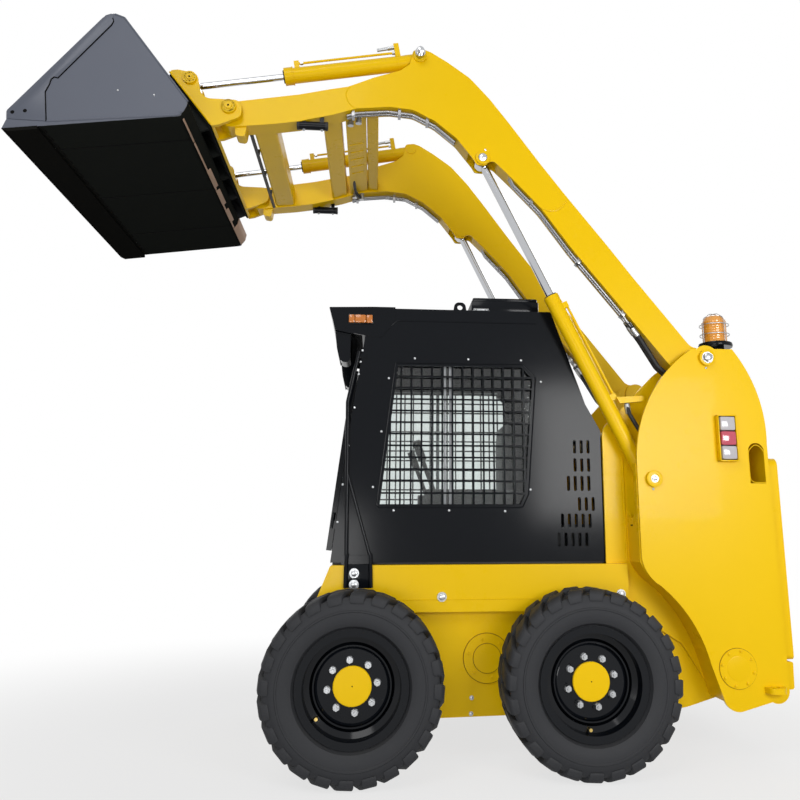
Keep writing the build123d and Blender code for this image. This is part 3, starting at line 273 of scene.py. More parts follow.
def make_scratch_group():
    """Long thin scuffs in two directions, as on rubbed steel."""
    group, given, made = new_group("scratches", {"Scale": 18.0, "Amount": 0.4}, ["Mask"])
    masks = []
    for turn, stretch in ((0.5, (1.0, 14.0, 6.0)), (-0.9, (9.0, 1.2, 14.0))):
        mapping = add_node(group, "ShaderNodeMapping", {
            "Vector": object_place(group), "Rotation": (turn, turn * 0.6, turn), "Scale": stretch})
        scuff = noise(group, mapping.outputs[0], given["Scale"], detail=3.0, roughness=0.7)
        masks.append(ramp(group, scuff, 0.66, 0.72))
    put(group, made["Mask"], times(group, larger(group, *masks), given["Amount"], clamp=True))
    return group


MAKERS = {"weathering": make_weathering_group, "grain": make_grain_group, "scratches": make_scratch_group}


def effect(tree, name, values):
    """Outputs of a shared effect, placed in a material with its own values."""
    if name not in GROUPS:
        GROUPS[name] = MAKERS[name]()
    return add_node(tree, "ShaderNodeGroup", values, node_tree=GROUPS[name]).outputs


def rgba(colour_value):
    return (*colour_value, 1.0)


def start_material(name, values):
    """Material with a Principled shader whose sockets are set; returns its tree and the shader's inputs."""
    material = bpy.data.materials.new(name)
    material.use_nodes = True
    MATERIALS[name] = material
    tree = material.node_tree
    inputs = tree.nodes["Principled BSDF"].inputs
    for key, value in values.items():
        inputs[key].default_value = value
    return tree, inputs


def surface(name, colour_value, roughness, coat=0.0, metallic=0.0, edge=(0.3, 0.3, 0.3), drift=0.05,
            edge_wear=0.0, dust=0.0, rough_drift=0.12, grain=350.0, relief=0.12, broad=0.4, specular=0.5):
    """Painted, moulded or plated finish with drift, wear, dust and a fine relief."""
    tree, inputs = start_material(name, {
        "Metallic": metallic, "Coat Weight": coat, "Coat Roughness": COAT_ROUGHNESS,
        "Specular IOR Level": specular})
    weather = effect(tree, "weathering", {
        "Colour": rgba(colour_value), "Edge colour": rgba(edge), "Drift": drift, "Edge wear": edge_wear,
        "Dust": dust, "Roughness": roughness, "Roughness drift": rough_drift})
    put(tree, inputs["Base Color"], weather["Colour"])
    put(tree, inputs["Roughness"], weather["Roughness"])
    bump = add_node(tree, "ShaderNodeBump", {
        "Strength": relief, "Distance": BUMP_DISTANCE,
        "Height": effect(tree, "grain", {"Scale": grain, "Broad share": broad})["Height"]})
    put(tree, inputs["Normal"], bump.outputs[0])


def bucket_surface(name, colour_value, side_paint_and_sky_reflection):
    """Dull black below, glossier with scuffs inside, and blue grey on the outer faces of the side plates: their
    paint, lightened by a painted reflection of the sky.
    """
    tree, inputs = start_material(name, {})
    coordinates = tree.nodes.new("ShaderNodeTexCoord").outputs
    place = split(tree, coordinates["Object"])
    facing = split(tree, coordinates["Normal"])
    inward = times(tree, times(tree, place["Y"], facing["Y"]), -1.0)
    inside = larger(tree, ramp(tree, facing["X"], 0.2, 0.4), ramp(tree, facing["Z"], 0.3, 0.5))
    inside = larger(tree, inside, ramp(tree, inward, 0.2, 0.4))
    side_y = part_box("bucket")[1].y
    # Outer faces of the side plates take the blue grey, which holds a painted sky reflection.
    outer = ramp(tree, math_node(tree, "ABSOLUTE", place["Y"]), side_y - 0.003, side_y - 0.001)
    base = mixed(tree, inside, rgba(colour_value), BUCKET_INSIDE)
    weather = effect(tree, "weathering", {
        "Colour": mixed(tree, outer, base, rgba(side_paint_and_sky_reflection)), "Drift": 0.02, "Edge wear": 0.0, "Dust": 0.0,
        "Roughness": 0.5, "Roughness drift": 0.1})
    scuffs = effect(tree, "scratches", {"Scale": 3.0, "Amount": 0.15})["Mask"]
    scuffed = mixed(tree, times(tree, scuffs, inside), weather["Colour"], BARE_SCUFF)
    put(tree, inputs["Base Color"], scuffed)
    put(tree, inputs["Roughness"], weather["Roughness"])
    put(tree, inputs["Specular IOR Level"], times(tree, larger(tree, outer, inside), 0.25))


# ---------------------------------------------------------------- shape helpers
def closed(bm):
    """Doubles merged and faces turned outwards."""
    bmesh.ops.remove_doubles(bm, verts=bm.verts, dist=1e-6)
    bmesh.ops.recalc_face_normals(bm, faces=bm.faces)
    return bm


def softened(bm, width):
    """Every edge rounded by a width."""
    if width:
        bmesh.ops.bevel(bm, geom=bm.edges[:], offset=width, offset_type="OFFSET", affect="EDGES",
                        segments=2, profile=0.5, material=-1)
    return closed(bm)


def moved(bm, matrix):
    """The whole shape put through a matrix."""
    bmesh.ops.transform(bm, matrix=matrix, verts=bm.verts)
    return bm


def both(bm):
    """The shape with its mirror image across the centre plane."""
    everything = bm.verts[:] + bm.edges[:] + bm.faces[:]
    bmesh.ops.mirror(bm, geom=everything, matrix=Matrix(), merge_dist=0.0, axis="Y")
    return closed(bm)


def pour(shape, whole):
    """Adds a shape to a whole and frees it."""
    held = bpy.data.meshes.new("held")
    shape.to_mesh(held)
    shape.free()
    whole.from_mesh(held)
    bpy.data.meshes.remove(held)


def joined(shapes):
    """Several shapes as one."""
    whole = bmesh.new()
    for shape in shapes:
        pour(shape, whole)
    return whole


def mirrored(material, shapes):
    """Left-hand shapes and their mirror images in one material, as make_piece takes them."""
    return both(joined(shapes)), material


def on_side(pairs, sign):
    """Left-hand (shape, material name) pairs, mirrored where the sign is the right side's."""
    if sign < 0:
        pairs = [(closed(moved(shape, Matrix.Scale(-1, 4, LEFT))), name) for shape, name in pairs]
    return pairs


def turned(profile, origin, axis, steps=32, ring=False):
    """Solid turned about an axis from (distance along, radius) points; the profile of a ring closes."""
    bm = bmesh.new()
    axis = Vector(axis).normalized()
    side = axis.orthogonal().normalized()
    verts = [bm.verts.new(origin + axis * distance + side * radius) for distance, radius in profile]
    pairs = list(zip(verts, verts[1:]))
    if ring:
        pairs.append((verts[-1], verts[0]))
    edges = [bm.edges.new(pair) for pair in pairs]
    bmesh.ops.spin(bm, geom=verts + edges, cent=origin, axis=axis, dvec=(0, 0, 0), angle=math.tau,
                   steps=steps, use_merge=True, use_duplicate=False)
    return closed(bm)


def hoop(origin, axis, start, width, outer, depth, steps=32):
    """Ring of rectangular section from a start along the axis."""
    end = start + width
    inner = outer - depth
    section = [(start, outer), (end, outer), (end, inner), (start, inner)]
    return turned(section, origin, axis, steps, ring=True)


def brick(low, high, bevel=0.0):
    """Box between two corners, with its edges rounded."""
    bm = bmesh.new()
    bmesh.ops.create_cube(bm, size=1.0)
    bmesh.ops.scale(bm, vec=high - low, verts=bm.verts)
    bmesh.ops.translate(bm, vec=(low + high) / 2, verts=bm.verts)
    return softened(bm, bevel)


def rod(start, end, radius, steps=16, end_radius=None):
    """Round bar, or a taper with another radius at its end."""
    bm = bmesh.new()
    run = end - start
    bmesh.ops.create_cone(bm, cap_ends=True, segments=steps, radius1=radius,
                          radius2=radius if end_radius is None else end_radius, depth=run.length)
    turn = run.to_track_quat("Z", "Y").to_matrix().to_4x4()
    return moved(bm, Matrix.Translation((start + end) / 2) @ turn)


def bar(place, way, near, far, radius, steps=16, end_radius=None):
    """Rod between two distances from a place along a direction."""
    return rod(place + way * near, place + way * far, radius, steps, end_radius)


def extruded(corners, run):
    """Solid swept from a flat outline along a vector."""
    bm = bmesh.new()
    face = bm.faces.new([bm.verts.new(corner) for corner in corners])
    grown = bmesh.ops.extrude_face_region(bm, geom=[face])
    verts = [entry for entry in grown["geom"] if isinstance(entry, bmesh.types.BMVert)]
    bmesh.ops.translate(bm, vec=run, verts=verts)
    return bm


def plate(outline, low_y, high_y, bevel=0.0):
    """Upright lengthwise plate from (x, z) corners, with its bevel also in millimetres."""
    bm = extruded([beside(corner, low_y) for corner in outline], Vector((0, (high_y - low_y) * MM, 0)))
    return softened(closed(bm), bevel * MM)


BEND_STEPS = 6
PIPE_ROUNDING = 3


def pipe(points, radius, bend=0.0):
    """Round line through points, each corner turned with a bend radius."""
    path = []
    for index, point in enumerate(points):
        if index in (0, len(points) - 1) or bend == 0.0:
            path.append(point)
            continue
        before = points[index - 1] - point
        after = points[index + 1] - point
        half = before.angle(after) / 2
        cut = min(bend / math.tan(half), before.length * 0.49, after.length * 0.49)
        start = point + before.normalized() * cut
        end = point + after.normalized() * cut
        for step in range(BEND_STEPS + 1):
            share = step / BEND_STEPS
            path.append(start.lerp(point, share).lerp(point.lerp(end, share), share))
    data = bpy.data.curves.new("held", "CURVE")
    data.dimensions = "3D"
    data.bevel_depth = radius
    data.bevel_resolution = PIPE_ROUNDING
    data.use_fill_caps = True
    spline = data.splines.new("POLY")
    spline.points.add(len(path) - 1)
    for entry, place in zip(spline.points, path):
        entry.co = (*place, 1.0)
    held = bpy.data.objects.new("held", data)
    mesh = bpy.data.meshes.new_from_object(held)
    bm = bmesh.new()
    bm.from_mesh(mesh)
    bpy.data.meshes.remove(mesh)
    bpy.data.objects.remove(held)
    bpy.data.curves.remove(data)
    return closed(bm)


def line(route, y, radius, bend=0.0):
    """Pipe through (x, z) points at one y."""
    return pipe([beside(point, y) for point in route], radius, bend)


def bolt(place, normal, radius):
    """Hexagon head on its washer."""
    normal = Vector(normal).normalized()
    washer = [(0, 0), (0, radius * 1.35), (radius * 0.22, radius * 1.3), (radius * 0.22, 0)]
    return joined([
        turned(washer, place, normal, 16),
        bar(place, normal * radius, 0.2, 0.95, radius, 6),
        bar(place, normal * radius, 0.95, 1.05, radius * 0.86, 12, radius * 0.7)])


def screw(place, normal, radius):
    """Low domed head."""
    dome = [(0, 0), (0, 1), (0.35, 0.85), (0.55, 0.45), (0.6, 0)]
    return turned([(rise * radius, out * radius) for rise, out in dome], place, normal, 14)


def fixings(maker, points, y, radius):
    """Bolts or screws on the left side at (x, z) points."""
    return [maker(beside(point, y), LEFT, radius) for point in points]


def around(middle, radius, number, first):
    """(x, z) points evenly on a circle, from a share of one step."""
    turns = [math.tau * (step + first) / number for step in range(number)]
    return [(middle[0] + radius * math.cos(turn), middle[1] + radius * math.sin(turn)) for turn in turns]


def pin_boss(pin, y, radius, proud):
    """Raised ring round a pin, with its radius and its rise over y in millimetres."""
    shares = [(0, 1), (0.8, 1), (1, 1 - 3 / radius), (1, 0.62), (0.4, 0.6), (0, 0.6)]
    section = [(rise * proud * MM, out * radius * MM) for rise, out in shares]
    return turned(section, beside(pin, y), LEFT, ring=True)


def make_piece(name, pairs, body, sharp_deg=35.0):
    """One object from (shape, material name) pairs, with its faces smooth up to the sharp angle."""
    whole = bmesh.new()
    names = []
    for shape, material in pairs:
        if material not in names:
            names.append(material)
        for face in shape.faces:
            face.material_index = names.index(material)
        pour(shape, whole)
    mesh = bpy.data.meshes.new(name)
    whole.to_mesh(mesh)
    whole.free()
    for material in names:
        mesh.materials.append(MATERIALS[material])
    mesh.shade_smooth()
    mesh.set_sharp_from_angle(angle=math.radians(sharp_deg))
    piece = bpy.data.objects.new(name, mesh)
    bpy.context.scene.collection.objects.link(piece)
    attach(piece, body)
    return piece


# ---------------------------------------------------------------- operators
class LOADER_OT_finishes(bpy.types.Operator):
    """Make the finishes and lay them on the CAD solids"""
    bl_idname = "loader.finishes"
    bl_label = "Finishes"

    def execute(self, context):
        look = context.scene.loader_finishes
        surface("yellow_paint", look.yellow, 0.30, coat=0.04, drift=0.015, relief=0.015, specular=0.12)
        surface("black_paint", look.black, 0.14, drift=0.04, rough_drift=0.04, relief=0.010, specular=0.12)
        surface("rim_paint", look.black, 0.10, drift=0.04, rough_drift=0.04, relief=0.008, specular=0.2)
        bucket_surface("bucket_paint", look.bucket, look.bucket_side_paint_and_sky_reflection)
        # The side plates' blue grey is partly paint and partly painted sky reflection.
        surface("bucket_side_paint_and_sky_reflection", look.bucket_side_paint_and_sky_reflection, 0.34, drift=0.02, relief=0.02, specular=0.25)
        surface("edge_steel", (0.011, 0.011, 0.010), 0.40, drift=0.10, relief=0.0, specular=0.0)
        surface("tyre_rubber", look.rubber, 0.62, edge=(0.055, 0.055, 0.055), drift=0.06, edge_wear=0.4,
                dust=0.06, grain=420.0, relief=0.25, broad=0.8, specular=0.22)
        surface("hose_rubber", (0.010, 0.010, 0.011), 0.5, edge=(0.03, 0.03, 0.03), edge_wear=0.25,
                dust=0.03, grain=700.0, relief=0.15, specular=0.3)
        surface("rod_chrome", (0.50, 0.51, 0.53), 0.12, metallic=1.0, drift=0.02, rough_drift=0.04,
                relief=0.005)
        start_material("clear_glass", {
            "Base Color": (0.80, 0.84, 0.83, 1.0), "Roughness": 0.03, "Transmission Weight": 1.0,
            "IOR": 1.45})
        surface("seat_vinyl", (0.018, 0.018, 0.019), 0.5, edge=(0.04, 0.04, 0.04), edge_wear=0.25, dust=0.1,
                grain=520.0, relief=0.2)
        surface("lever_plastic", (0.03, 0.03, 0.03), 0.5, edge_wear=0.25, dust=0.06, grain=600.0,
                relief=0.15)
        surface("engine_iron", (0.10, 0.10, 0.10), 0.6, metallic=0.3, edge_wear=0.25, dust=0.3, grain=180.0,
                relief=0.25)
        surface("amber_plastic", look.amber, 0.12, coat=0.5, drift=0.03, dust=0.02)
        surface("marker_amber", look.marker, 0.15, coat=0.2, drift=0.03, dust=0.02)
        surface("lamp_red", look.red, 0.12, coat=0.8, drift=0.03, dust=0.02)
        surface("line_steel", (0.30, 0.30, 0.31), 0.28, metallic=0.9, drift=0.08, edge_wear=0.2, dust=0.03,
                relief=0.03)
        surface("zinc", (0.40, 0.41, 0.42), 0.30, metallic=0.85, drift=0.10, edge_wear=0.2, dust=0.05,
                relief=0.05)
        surface("brass", (0.62, 0.44, 0.12), 0.3, metallic=1.0, drift=0.1, edge_wear=0.25, dust=0.06,
                relief=0.03)
        surface("clear_lens", (0.46, 0.44, 0.46), 0.12, coat=0.3, drift=0.10, relief=0.05)
        surface("worn_primer", (0.42, 0.28, 0.20), 0.6, drift=0.10, edge_wear=0.3, specular=0.1)
        # Brown tone for the rings at the cover joints: partly dirt, partly painted shade where the joints' shadow
        # falls.
        surface("grime_and_painted_shade", (0.30, 0.17, 0.006), 0.6, drift=0.2, specular=0.1)
        surface("grey_frame", (0.20, 0.21, 0.22), 0.4, coat=0.1, metallic=0.4, edge_wear=0.25, dust=0.06,
                relief=0.03)
        # Near-black painted shade: it fills holes, slots, vents, seams and recesses where there is only shade.
        surface("painted_gap_shade", (0.003, 0.003, 0.003), 0.8, drift=0.0, relief=0.02, specular=0.1)
        for part in frame["record"]["subparts"]:
            finish = "rim_paint" if part["node"].startswith("wheel_") else part["material_slot"]
            for held in NODES[part["node"]].material_slots:
                held.material = MATERIALS[finish]
        return {"FINISHED"}


TYRE_RADIUS = 376
SIDEWALL = [                 # across, radius
    (96, 207), (96, 229), (104, 236), (118, 240), (121, 246), (126, 258), (129, 279), (129, 293), (132, 296),
    (132, 301), (128, 304), (127, 322), (124, 326), (122, 338), (108, 352),
]
TYRE_SECTION = [(-across, radius) for across, radius in SIDEWALL] + [(0, 355)] + SIDEWALL[::-1]
LUG_SECTION = [(6, 376), (88, 375), (112, 369), (124, 358), (127, 340), (127, 328), (119, 330), (104, 346),
               (6, 350)]
LUG_BEVEL = 0.004


def wheels():
    """Name, side's sign, axle place and tyre box of each wheel."""
    for end in ("front", "rear"):
        for side, sign in SIDES:
            name = "%s_%s" % (end, side)
            low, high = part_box("tyre_" + name)
            yield name, sign, Vector(JOINTS["wheel_spin_" + name]["pos_m"]), low, high


class LOADER_OT_tyres(bpy.types.Operator):
    """Tyres with a slanted block tread and ringed sidewalls"""
    bl_idname = "loader.tyres"
    bl_label = "Tyres"

    def execute(self, context):
        size = context.scene.loader_tyres
        for name, sign, axle, low, high in wheels():
            hub = Vector((axle.x, (low.y + high.y) / 2, axle.z))
            carcass = [(across * MM, radius * MM) for across, radius in TYRE_SECTION]
            shapes = [turned(carcass, hub, LEFT, 96, ring=True)]
            for half, offset in ((1, 0.0), (-1, 0.5)):
                for number in range(size.lugs):
                    shapes.append(self.make_lug(size, hub, half, sign, (number + offset) / size.lugs))
            pairs = [(joined(shapes), "tyre_rubber")]
            tyre = make_piece("tyre_tread_" + name, pairs, "wheel_" + name, 40.0)
            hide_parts("tyre_" + name)
        return {"FINISHED"}

    def make_lug(self, size, hub, half, sign, share):
        """One block of the tread, wrapped round the tyre at a share of a full turn."""
        section = [(0, across * MM * half, radius * MM) for across, radius in LUG_SECTION]
        bm = extruded(section, Vector((size.lug_run, 0, 0)))
        for vert in bm.verts:
            along, out = vert.co.x + size.lug_slant * sign * vert.co.y, vert.co.z
            turn = along / (TYRE_RADIUS * MM)
            vert.co.x, vert.co.z = out * math.sin(turn), out * math.cos(turn)
        moved(bm, Matrix.Translation(hub) @ Matrix.Rotation(share * math.tau, 4, "Y"))
        return softened(closed(bm), LUG_BEVEL)


# distances from the wheel disc outwards, and radii, in metres
DISC_INSET = 0.100           # from the tyre's outer side to the wheel disc
NUT_COUNT = 8
NUT_CIRCLE = 0.1016
NUT_TURNS = {"front": 38.0, "rear": 30.0}
NUT_CONE = [(0, 0), (0, 0.0165), (0.006, 0.0135), (0.006, 0)]
NUT_RUN = (0.005, 0.019)
STUD = (0.018, 0.026, 0.0075, 12, 0.006)     # near, far, radius, steps, end radius
HUB_CAP = [(0, 0.0785), (0.0122, 0.0785), (0.0145, 0.0755), (0.0152, 0.02), (0.0152, 0)]
RIM_STEPS = ((0.0695, 0.2115), (0.0115, 0.158))
STEP_SECTION = ((0, 0.003), (0.004, 0.002), (0.004, -0.004), (0, -0.005))
VALVES = {"front": (0.138, -0.112), "rear": (0.021, -0.177)}     # from the hub, forward and up


class LOADER_OT_wheels(bpy.types.Operator):
    """Wheel nuts, hub caps, rim steps and valves"""
    bl_idname = "loader.wheels"
    bl_label = "Wheel trim"

    def execute(self, context):
        size = context.scene.loader_trim
        for name, sign, axle, low, high in wheels():
            end = name.split("_")[0]
            hub = Vector((axle.x, (high.y if sign > 0 else -low.y) - DISC_INSET, axle.z))
            nuts = []
            for number in range(NUT_COUNT):
                turn = math.radians(360 / NUT_COUNT * number + NUT_TURNS[end])
                place = hub + Vector((math.cos(turn), 0, math.sin(turn))) * NUT_CIRCLE
                nuts += [turned(NUT_CONE, place, LEFT, 16), bar(place, LEFT, *NUT_RUN, size.nut, 6),
                         bar(place, LEFT, *STUD)]
            steps = []
            for out, radius in RIM_STEPS:
                section = [(out + rise, radius + grow) for rise, grow in STEP_SECTION]
                steps.append(turned(section, hub, LEFT, 64, ring=True))
            place = hub + Vector((VALVES[end][0], 0.012, VALVES[end][1]))
            valve = [bar(place, LEFT, 0, 0.034, 0.0055, 12), bar(place, LEFT, 0.034, 0.048, 0.007, 12)]
            # The small near-black dome in the hub cap's middle is painted shade of its recess.
            pairs = [(joined(nuts), "zinc"), (turned(HUB_CAP, hub, LEFT, 48), "yellow_paint"),
                     (screw(hub + LEFT * 0.0150, LEFT, 0.003), "painted_gap_shade"), (joined(steps), "rim_paint"),
                     (joined(valve), "brass")]
            make_piece("wheel_trim_" + name, on_side(pairs, sign), "wheel_" + name)
        return {"FINISHED"}


WINDOW_SCREWS = [(237, 1803), (-23, 1803), (-282, 1802), (361, 1704), (-378, 1697), (392, 1448), (427, 1189),
                 (-315, 1179), (330, 1082), (72, 1082), (-192, 1079)]
POST_SCREWS = [(489, 1838), (497, 1782), (505, 1722), (521, 1560), (545, 1380), (566, 1200), (586, 1030)]
ROOF_SEAM = [(401, 1911), (328, 1989), (-362, 1989)]
WINDOW_CORNERS = [(330, 1781), (-290, 1782), (-352, 1717), (-306, 1158), (-276, 1096), (411, 1096)]
WINDOW_BARS = [              # low x, high x, low z, high z
    (52, 70, 1092, 1790), (84, 96, 1092, 1790), (-300, 420, 1086, 1104), (-350, 340, 1774, 1792),
]
LAMP_FACE = [(613, 1924), (614, 1918), (604, 1852), (590, 1800), (586, 1804), (598, 1853), (607, 1924)]
LAMP_RIM = [(617, 1938), (624, 1938), (613, 1851), (598, 1788), (593, 1790), (606, 1853)]
VENT_COUNT = 15
VENT_PITCH = 44


class LOADER_OT_cab(bpy.types.Operator):
    """Cab side seams, window frames, screws, sealing strip and lamps"""
    bl_idname = "loader.cab"
    bl_label = "Cab trim"

    def execute(self, context):
        size = context.scene.loader_trim
        screws = fixings(screw, WINDOW_SCREWS + POST_SCREWS, CAB_SIDE, size.screw)
        make_piece("cab_screws", [mirrored("zinc", screws)], "frame")
        seams = [line(ROOF_SEAM, CAB_SIDE, size.seam, 0.04),
                 line(WINDOW_CORNERS + WINDOW_CORNERS[:1], CAB_SIDE - 1, 0.003, 0.02)]
        make_piece("cab_seams", [mirrored("black_paint", seams)], "frame")
        strip = brick(at(-655, 421, 840.2), at(604, 437, 849.8), 0.002)
        ends = joined([brick(at(588, -421, 840.2), at(604, 421, 849.8), 0.002),
                       brick(at(-655, -421, 840.2), at(-640, 421, 849.8), 0.002)])
        pairs = [mirrored("hose_rubber", [strip]), (ends, "hose_rubber")]
        make_piece("cab_strip", pairs, "frame")
        bars = [brick(at(low_x, 417, low_z), at(high_x, 425, high_z), 0.002)
                for low_x, high_x, low_z, high_z in WINDOW_BARS]
        make_piece("window_frames", [mirrored("grey_frame", bars)], "frame")
        rims = [plate(LAMP_RIM, y, y + 8, 1) for y in (304, 408)]
        pairs = [mirrored("clear_lens", [plate(LAMP_FACE, 314, 406, 0.6)]), mirrored("black_paint", rims)]
        make_piece("work_lamp_faces", pairs, "frame")
        base = brick(at(440, 444, 1968), at(562, 450, 2016), 0.002)
        lenses = [brick(at(low_x, 449, 1972), at(high_x, high_y, 2012), 0.004)
                  for low_x, high_x, high_y in ((476, 528, 459), (444, 474, 457), (530, 558, 457))]
        pairs = [mirrored("black_paint", [base]), mirrored("marker_amber", lenses)]
        lamp = make_piece("marker_lenses", pairs, "frame")
        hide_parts("marker_lamps")
        lid = joined([brick(at(-384, -400, 2050), at(-45, 400, 2112), 0.006),
                      brick(at(-380, -394, 2110), at(-52, 394, 2130), 0.008)])
        # The vent slots are thin near-black strips on the lid: painted shade, not openings.
        vents = joined([brick(at(-340, y, 2129), at(-100, y + 24, 2130.6), 0.0006)
                        for y in range(-330, -330 + VENT_PITCH * VENT_COUNT, VENT_PITCH)])
        pairs = [(lid, "black_paint"), (vents, "painted_gap_shade")]
        box = make_piece("roof_box_cover", pairs, "frame")
        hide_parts("roof_box")
        hinge = [brick(at(-134, 402, 2049), at(-48, 428, 2055), 0.002),
                 rod(at(-128, 408, 2062), at(-54, 408, 2062), 0.008),
                 bolt(at(-118, 420, 2055), UP, 0.008), bolt(at(-64, 420, 2055), UP, 0.008)]
        make_piece("roof_hinges", [mirrored("zinc", hinge)], "frame")
        return {"FINISHED"}


BEACON_MIDDLE = (-1264, 460)
# heights above the ground and radii in metres; for the wire, shares of its radius
BEACON_FOOT = [(1.878, 0), (1.878, 0.081), (1.886, 0.084), (1.898, 0.081), (1.903, 0.066), (1.903, 0)]
BEACON_CROWN = [(2.020, 0.056), (2.032, 0.048), (2.041, 0.032), (2.0435, 0.0)]
BEACON_WIRE = [(1.895, 1), (2.02, 1), (2.052, 0.3), (2.052, -0.3), (2.02, -1), (1.895, -1)]
BEACON_RIBS = 9
TAIL_LAMP_X = (-1250, -1160)
TAIL_LAMP_Z = (1300, 1514)
TAIL_LAMP_DEPTH = 34
TAIL_LENSES = ((8, 70, "clear_lens"), (73, 138, "lamp_red"), (141, 206, "clear_lens"))       # above its foot


class LOADER_OT_lamps(bpy.types.Operator):
    """Beacon with its guard, and the tail lamp clusters"""
    bl_idname = "loader.lamps"
    bl_label = "Beacon and tail lamps"

    def execute(self, context):
        middle = at(*BEACON_MIDDLE, 0)
        stand = joined([brick(at(-1310, 420, 1826), at(-1216, 500, 1834), 0.002),
                        brick(at(-1300, 436, 1833), at(-1228, 484, 1880), 0.004),
                        turned(BEACON_FOOT, middle, UP, 40)])
        ribs = []
        for step in range(BEACON_RIBS):
            height = 1.904 + step * 0.0125
            ribs += [(height, 0.0595), (height + 0.0065, 0.0595), (height + 0.0085, 0.0575)]
        dome = turned([(1.902, 0)] + ribs + BEACON_CROWN, middle, UP, 40)
        wires = []
        for turn in (0.35, 0.35 + math.pi / 2):
            away = Vector((math.cos(turn), math.sin(turn), 0)) * 0.071
            route = [middle + UP * height + away * share for height, share in BEACON_WIRE]
            wires.append(pipe(route, 0.0022, 0.035))
        wires += [hoop(middle, UP, height, 0.004, 0.0730, 0.0035, 40) for height in (1.94, 1.99)]
        pairs = [(stand, "black_paint"), (dome, "amber_plastic"), (joined(wires), "zinc")]
        beacon = make_piece("beacon", pairs, "frame")
        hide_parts("roof_beacon")
        (low_x, high_x), (low_z, high_z) = TAIL_LAMP_X, TAIL_LAMP_Z
        base, front = TOWER_SIDE, TOWER_SIDE + TAIL_LAMP_DEPTH
        walls = [
            brick(at(low_x, base, low_z), at(high_x, front, low_z + 5), 0.0015),
            brick(at(low_x, base, high_z - 5), at(high_x, front, high_z), 0.0015),
            brick(at(low_x, base, low_z), at(low_x + 5, front, high_z), 0.0015),
            plate([(high_x - 5, low_z), (high_x, low_z), (high_x, high_z), (high_x - 5, high_z)],
                  base, front, 1.5)]
        back = brick(at(low_x + 4, base, low_z + 4), at(high_x - 4, base + 16, high_z - 4), 0.001)
        lenses = []
        for low, high, name in TAIL_LENSES:
            corners = at(low_x + 9, base + 14, low_z + low), at(high_x - 9, base + 40, low_z + high)
            lenses.append(mirrored(name, [brick(*corners, 0.008)]))
        pairs = [mirrored("yellow_paint", walls), mirrored("black_paint", [back]), *lenses]
        lamps = make_piece("tail_lamp_clusters", pairs, "frame")
        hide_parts("tail_lamps")
        return {"FINISHED"}


COVER = (-1184, 397)
CHAIN_COVER = (-97, 432)
COVER_CAP = [(0.004, 0.052), (0.0060, 0.052), (0.0065, 0.050), (0.0065, 0)]
DECK_BOLTS = [(110, 701), (-712, 706)]
BRACKET_BOLTS = [(503, 806), (503, 757)]
HULL_STUDS = [(-27, 266), (-24, 200)]
COVER_JOINTS = (             # middle, y, radius
    (CHAIN_COVER, HULL_SIDE, 0.1085), (CHAIN_COVER, HULL_SIDE + 8, 0.065), (COVER, TOWER_SIDE, 0.0865))
BAR_FEET = ([(434, 888), (431, 846), (427, 744)], [(538, 888), (540, 846), (541, 744)])
BRACKET = [(423, 742), (545, 742), (545, 842), (423, 842)]
DECK_FOLD = [(-749, 690), (612, 690)]
CAB_WELD = [(-760, 852), (-760, 1330)]
TOWER_SLOT = [(-1386, 1205), (-1386, 1350), (-1348, 1387), (-1310, 1350), (-1310, 1205), (-1386, 1205)]
TOWER_PINS = ((BOOM_HINGE, 38, 0.021), (LIFT_BASE, 37, 0.013))      # place, boss radius, bolt radius


class LOADER_OT_hull(bpy.types.Operator):
    """Bolts, covers, pins and seams of the hull and the towers"""
    bl_idname = "loader.hull"
    bl_label = "Hull trim"

    def execute(self, context):
        size = context.scene.loader_trim
        bolts = [*fixings(bolt, DECK_BOLTS, DECK_SIDE, size.bolt),
                 *fixings(bolt, BRACKET_BOLTS, DECK_SIDE + 4, size.bolt),
                 *fixings(bolt, HULL_STUDS, HULL_SIDE, 0.0075)]
        make_piece("hull_bolts", [mirrored("zinc", bolts)], "frame")
        # Dark brown rings round the covers: painted shade along their joints, with some dirt.
        rings = [hoop(beside(middle, y), LEFT, -0.001, 0.0022, radius, 0.003, 48)
                 for middle, y, radius in COVER_JOINTS]
        make_piece("cover_joints", [mirrored("grime_and_painted_shade", rings)], "frame")
        covers = [*fixings(bolt, around(COVER, 73, 8, 0.3), TOWER_SIDE + 5, 0.0065),
                  *fixings(bolt, around(CHAIN_COVER, 84, 6, 0.25), HULL_SIDE + 8, 0.0055),
                  turned(COVER_CAP, beside(COVER, TOWER_SIDE), LEFT, 40), line(DECK_FOLD, DECK_SIDE, 0.0022),
                  line(CAB_WELD, HULL_SIDE + 12, size.weld), line(TOWER_SLOT, TOWER_SIDE - 0.5, 0.002, 0.03)]
        make_piece("hull_covers", [mirrored("yellow_paint", covers)], "frame")
        brackets = [line(foot, 512, 0.0085) for foot in BAR_FEET]
        brackets += [plate(BRACKET, DECK_SIDE, DECK_SIDE + 4, 0.8),
                     brick(at(423, CAB_SIDE + 4, 840.2), at(545, DECK_SIDE + 4, 843.5), 0.001)]
        # The notch is a near-black block: painted shade for a hole.
        notch = brick(at(-776, 505, 1010), at(-771.2, 535, 1017), 0.0005)
        pairs = [mirrored("black_paint", brackets), mirrored("painted_gap_shade", [notch])]
        make_piece("bar_brackets", pairs, "frame")
        bosses = []
        pins = []
        for (x, z), radius, head in TOWER_PINS:
            bosses.append(pin_boss((x, z), TOWER_SIDE + 14, radius, 5))
            pins += [bolt(at(x, TOWER_SIDE + 16, z), LEFT, head),
                     screw(at(x + 4, TOWER_SIDE, z - radius - 9), LEFT, 0.006)]
        pairs = [mirrored("zinc", pins), mirrored("yellow_paint", bosses)]
        make_piece("tower_pins", pairs, "frame")
        return {"FINISHED"}


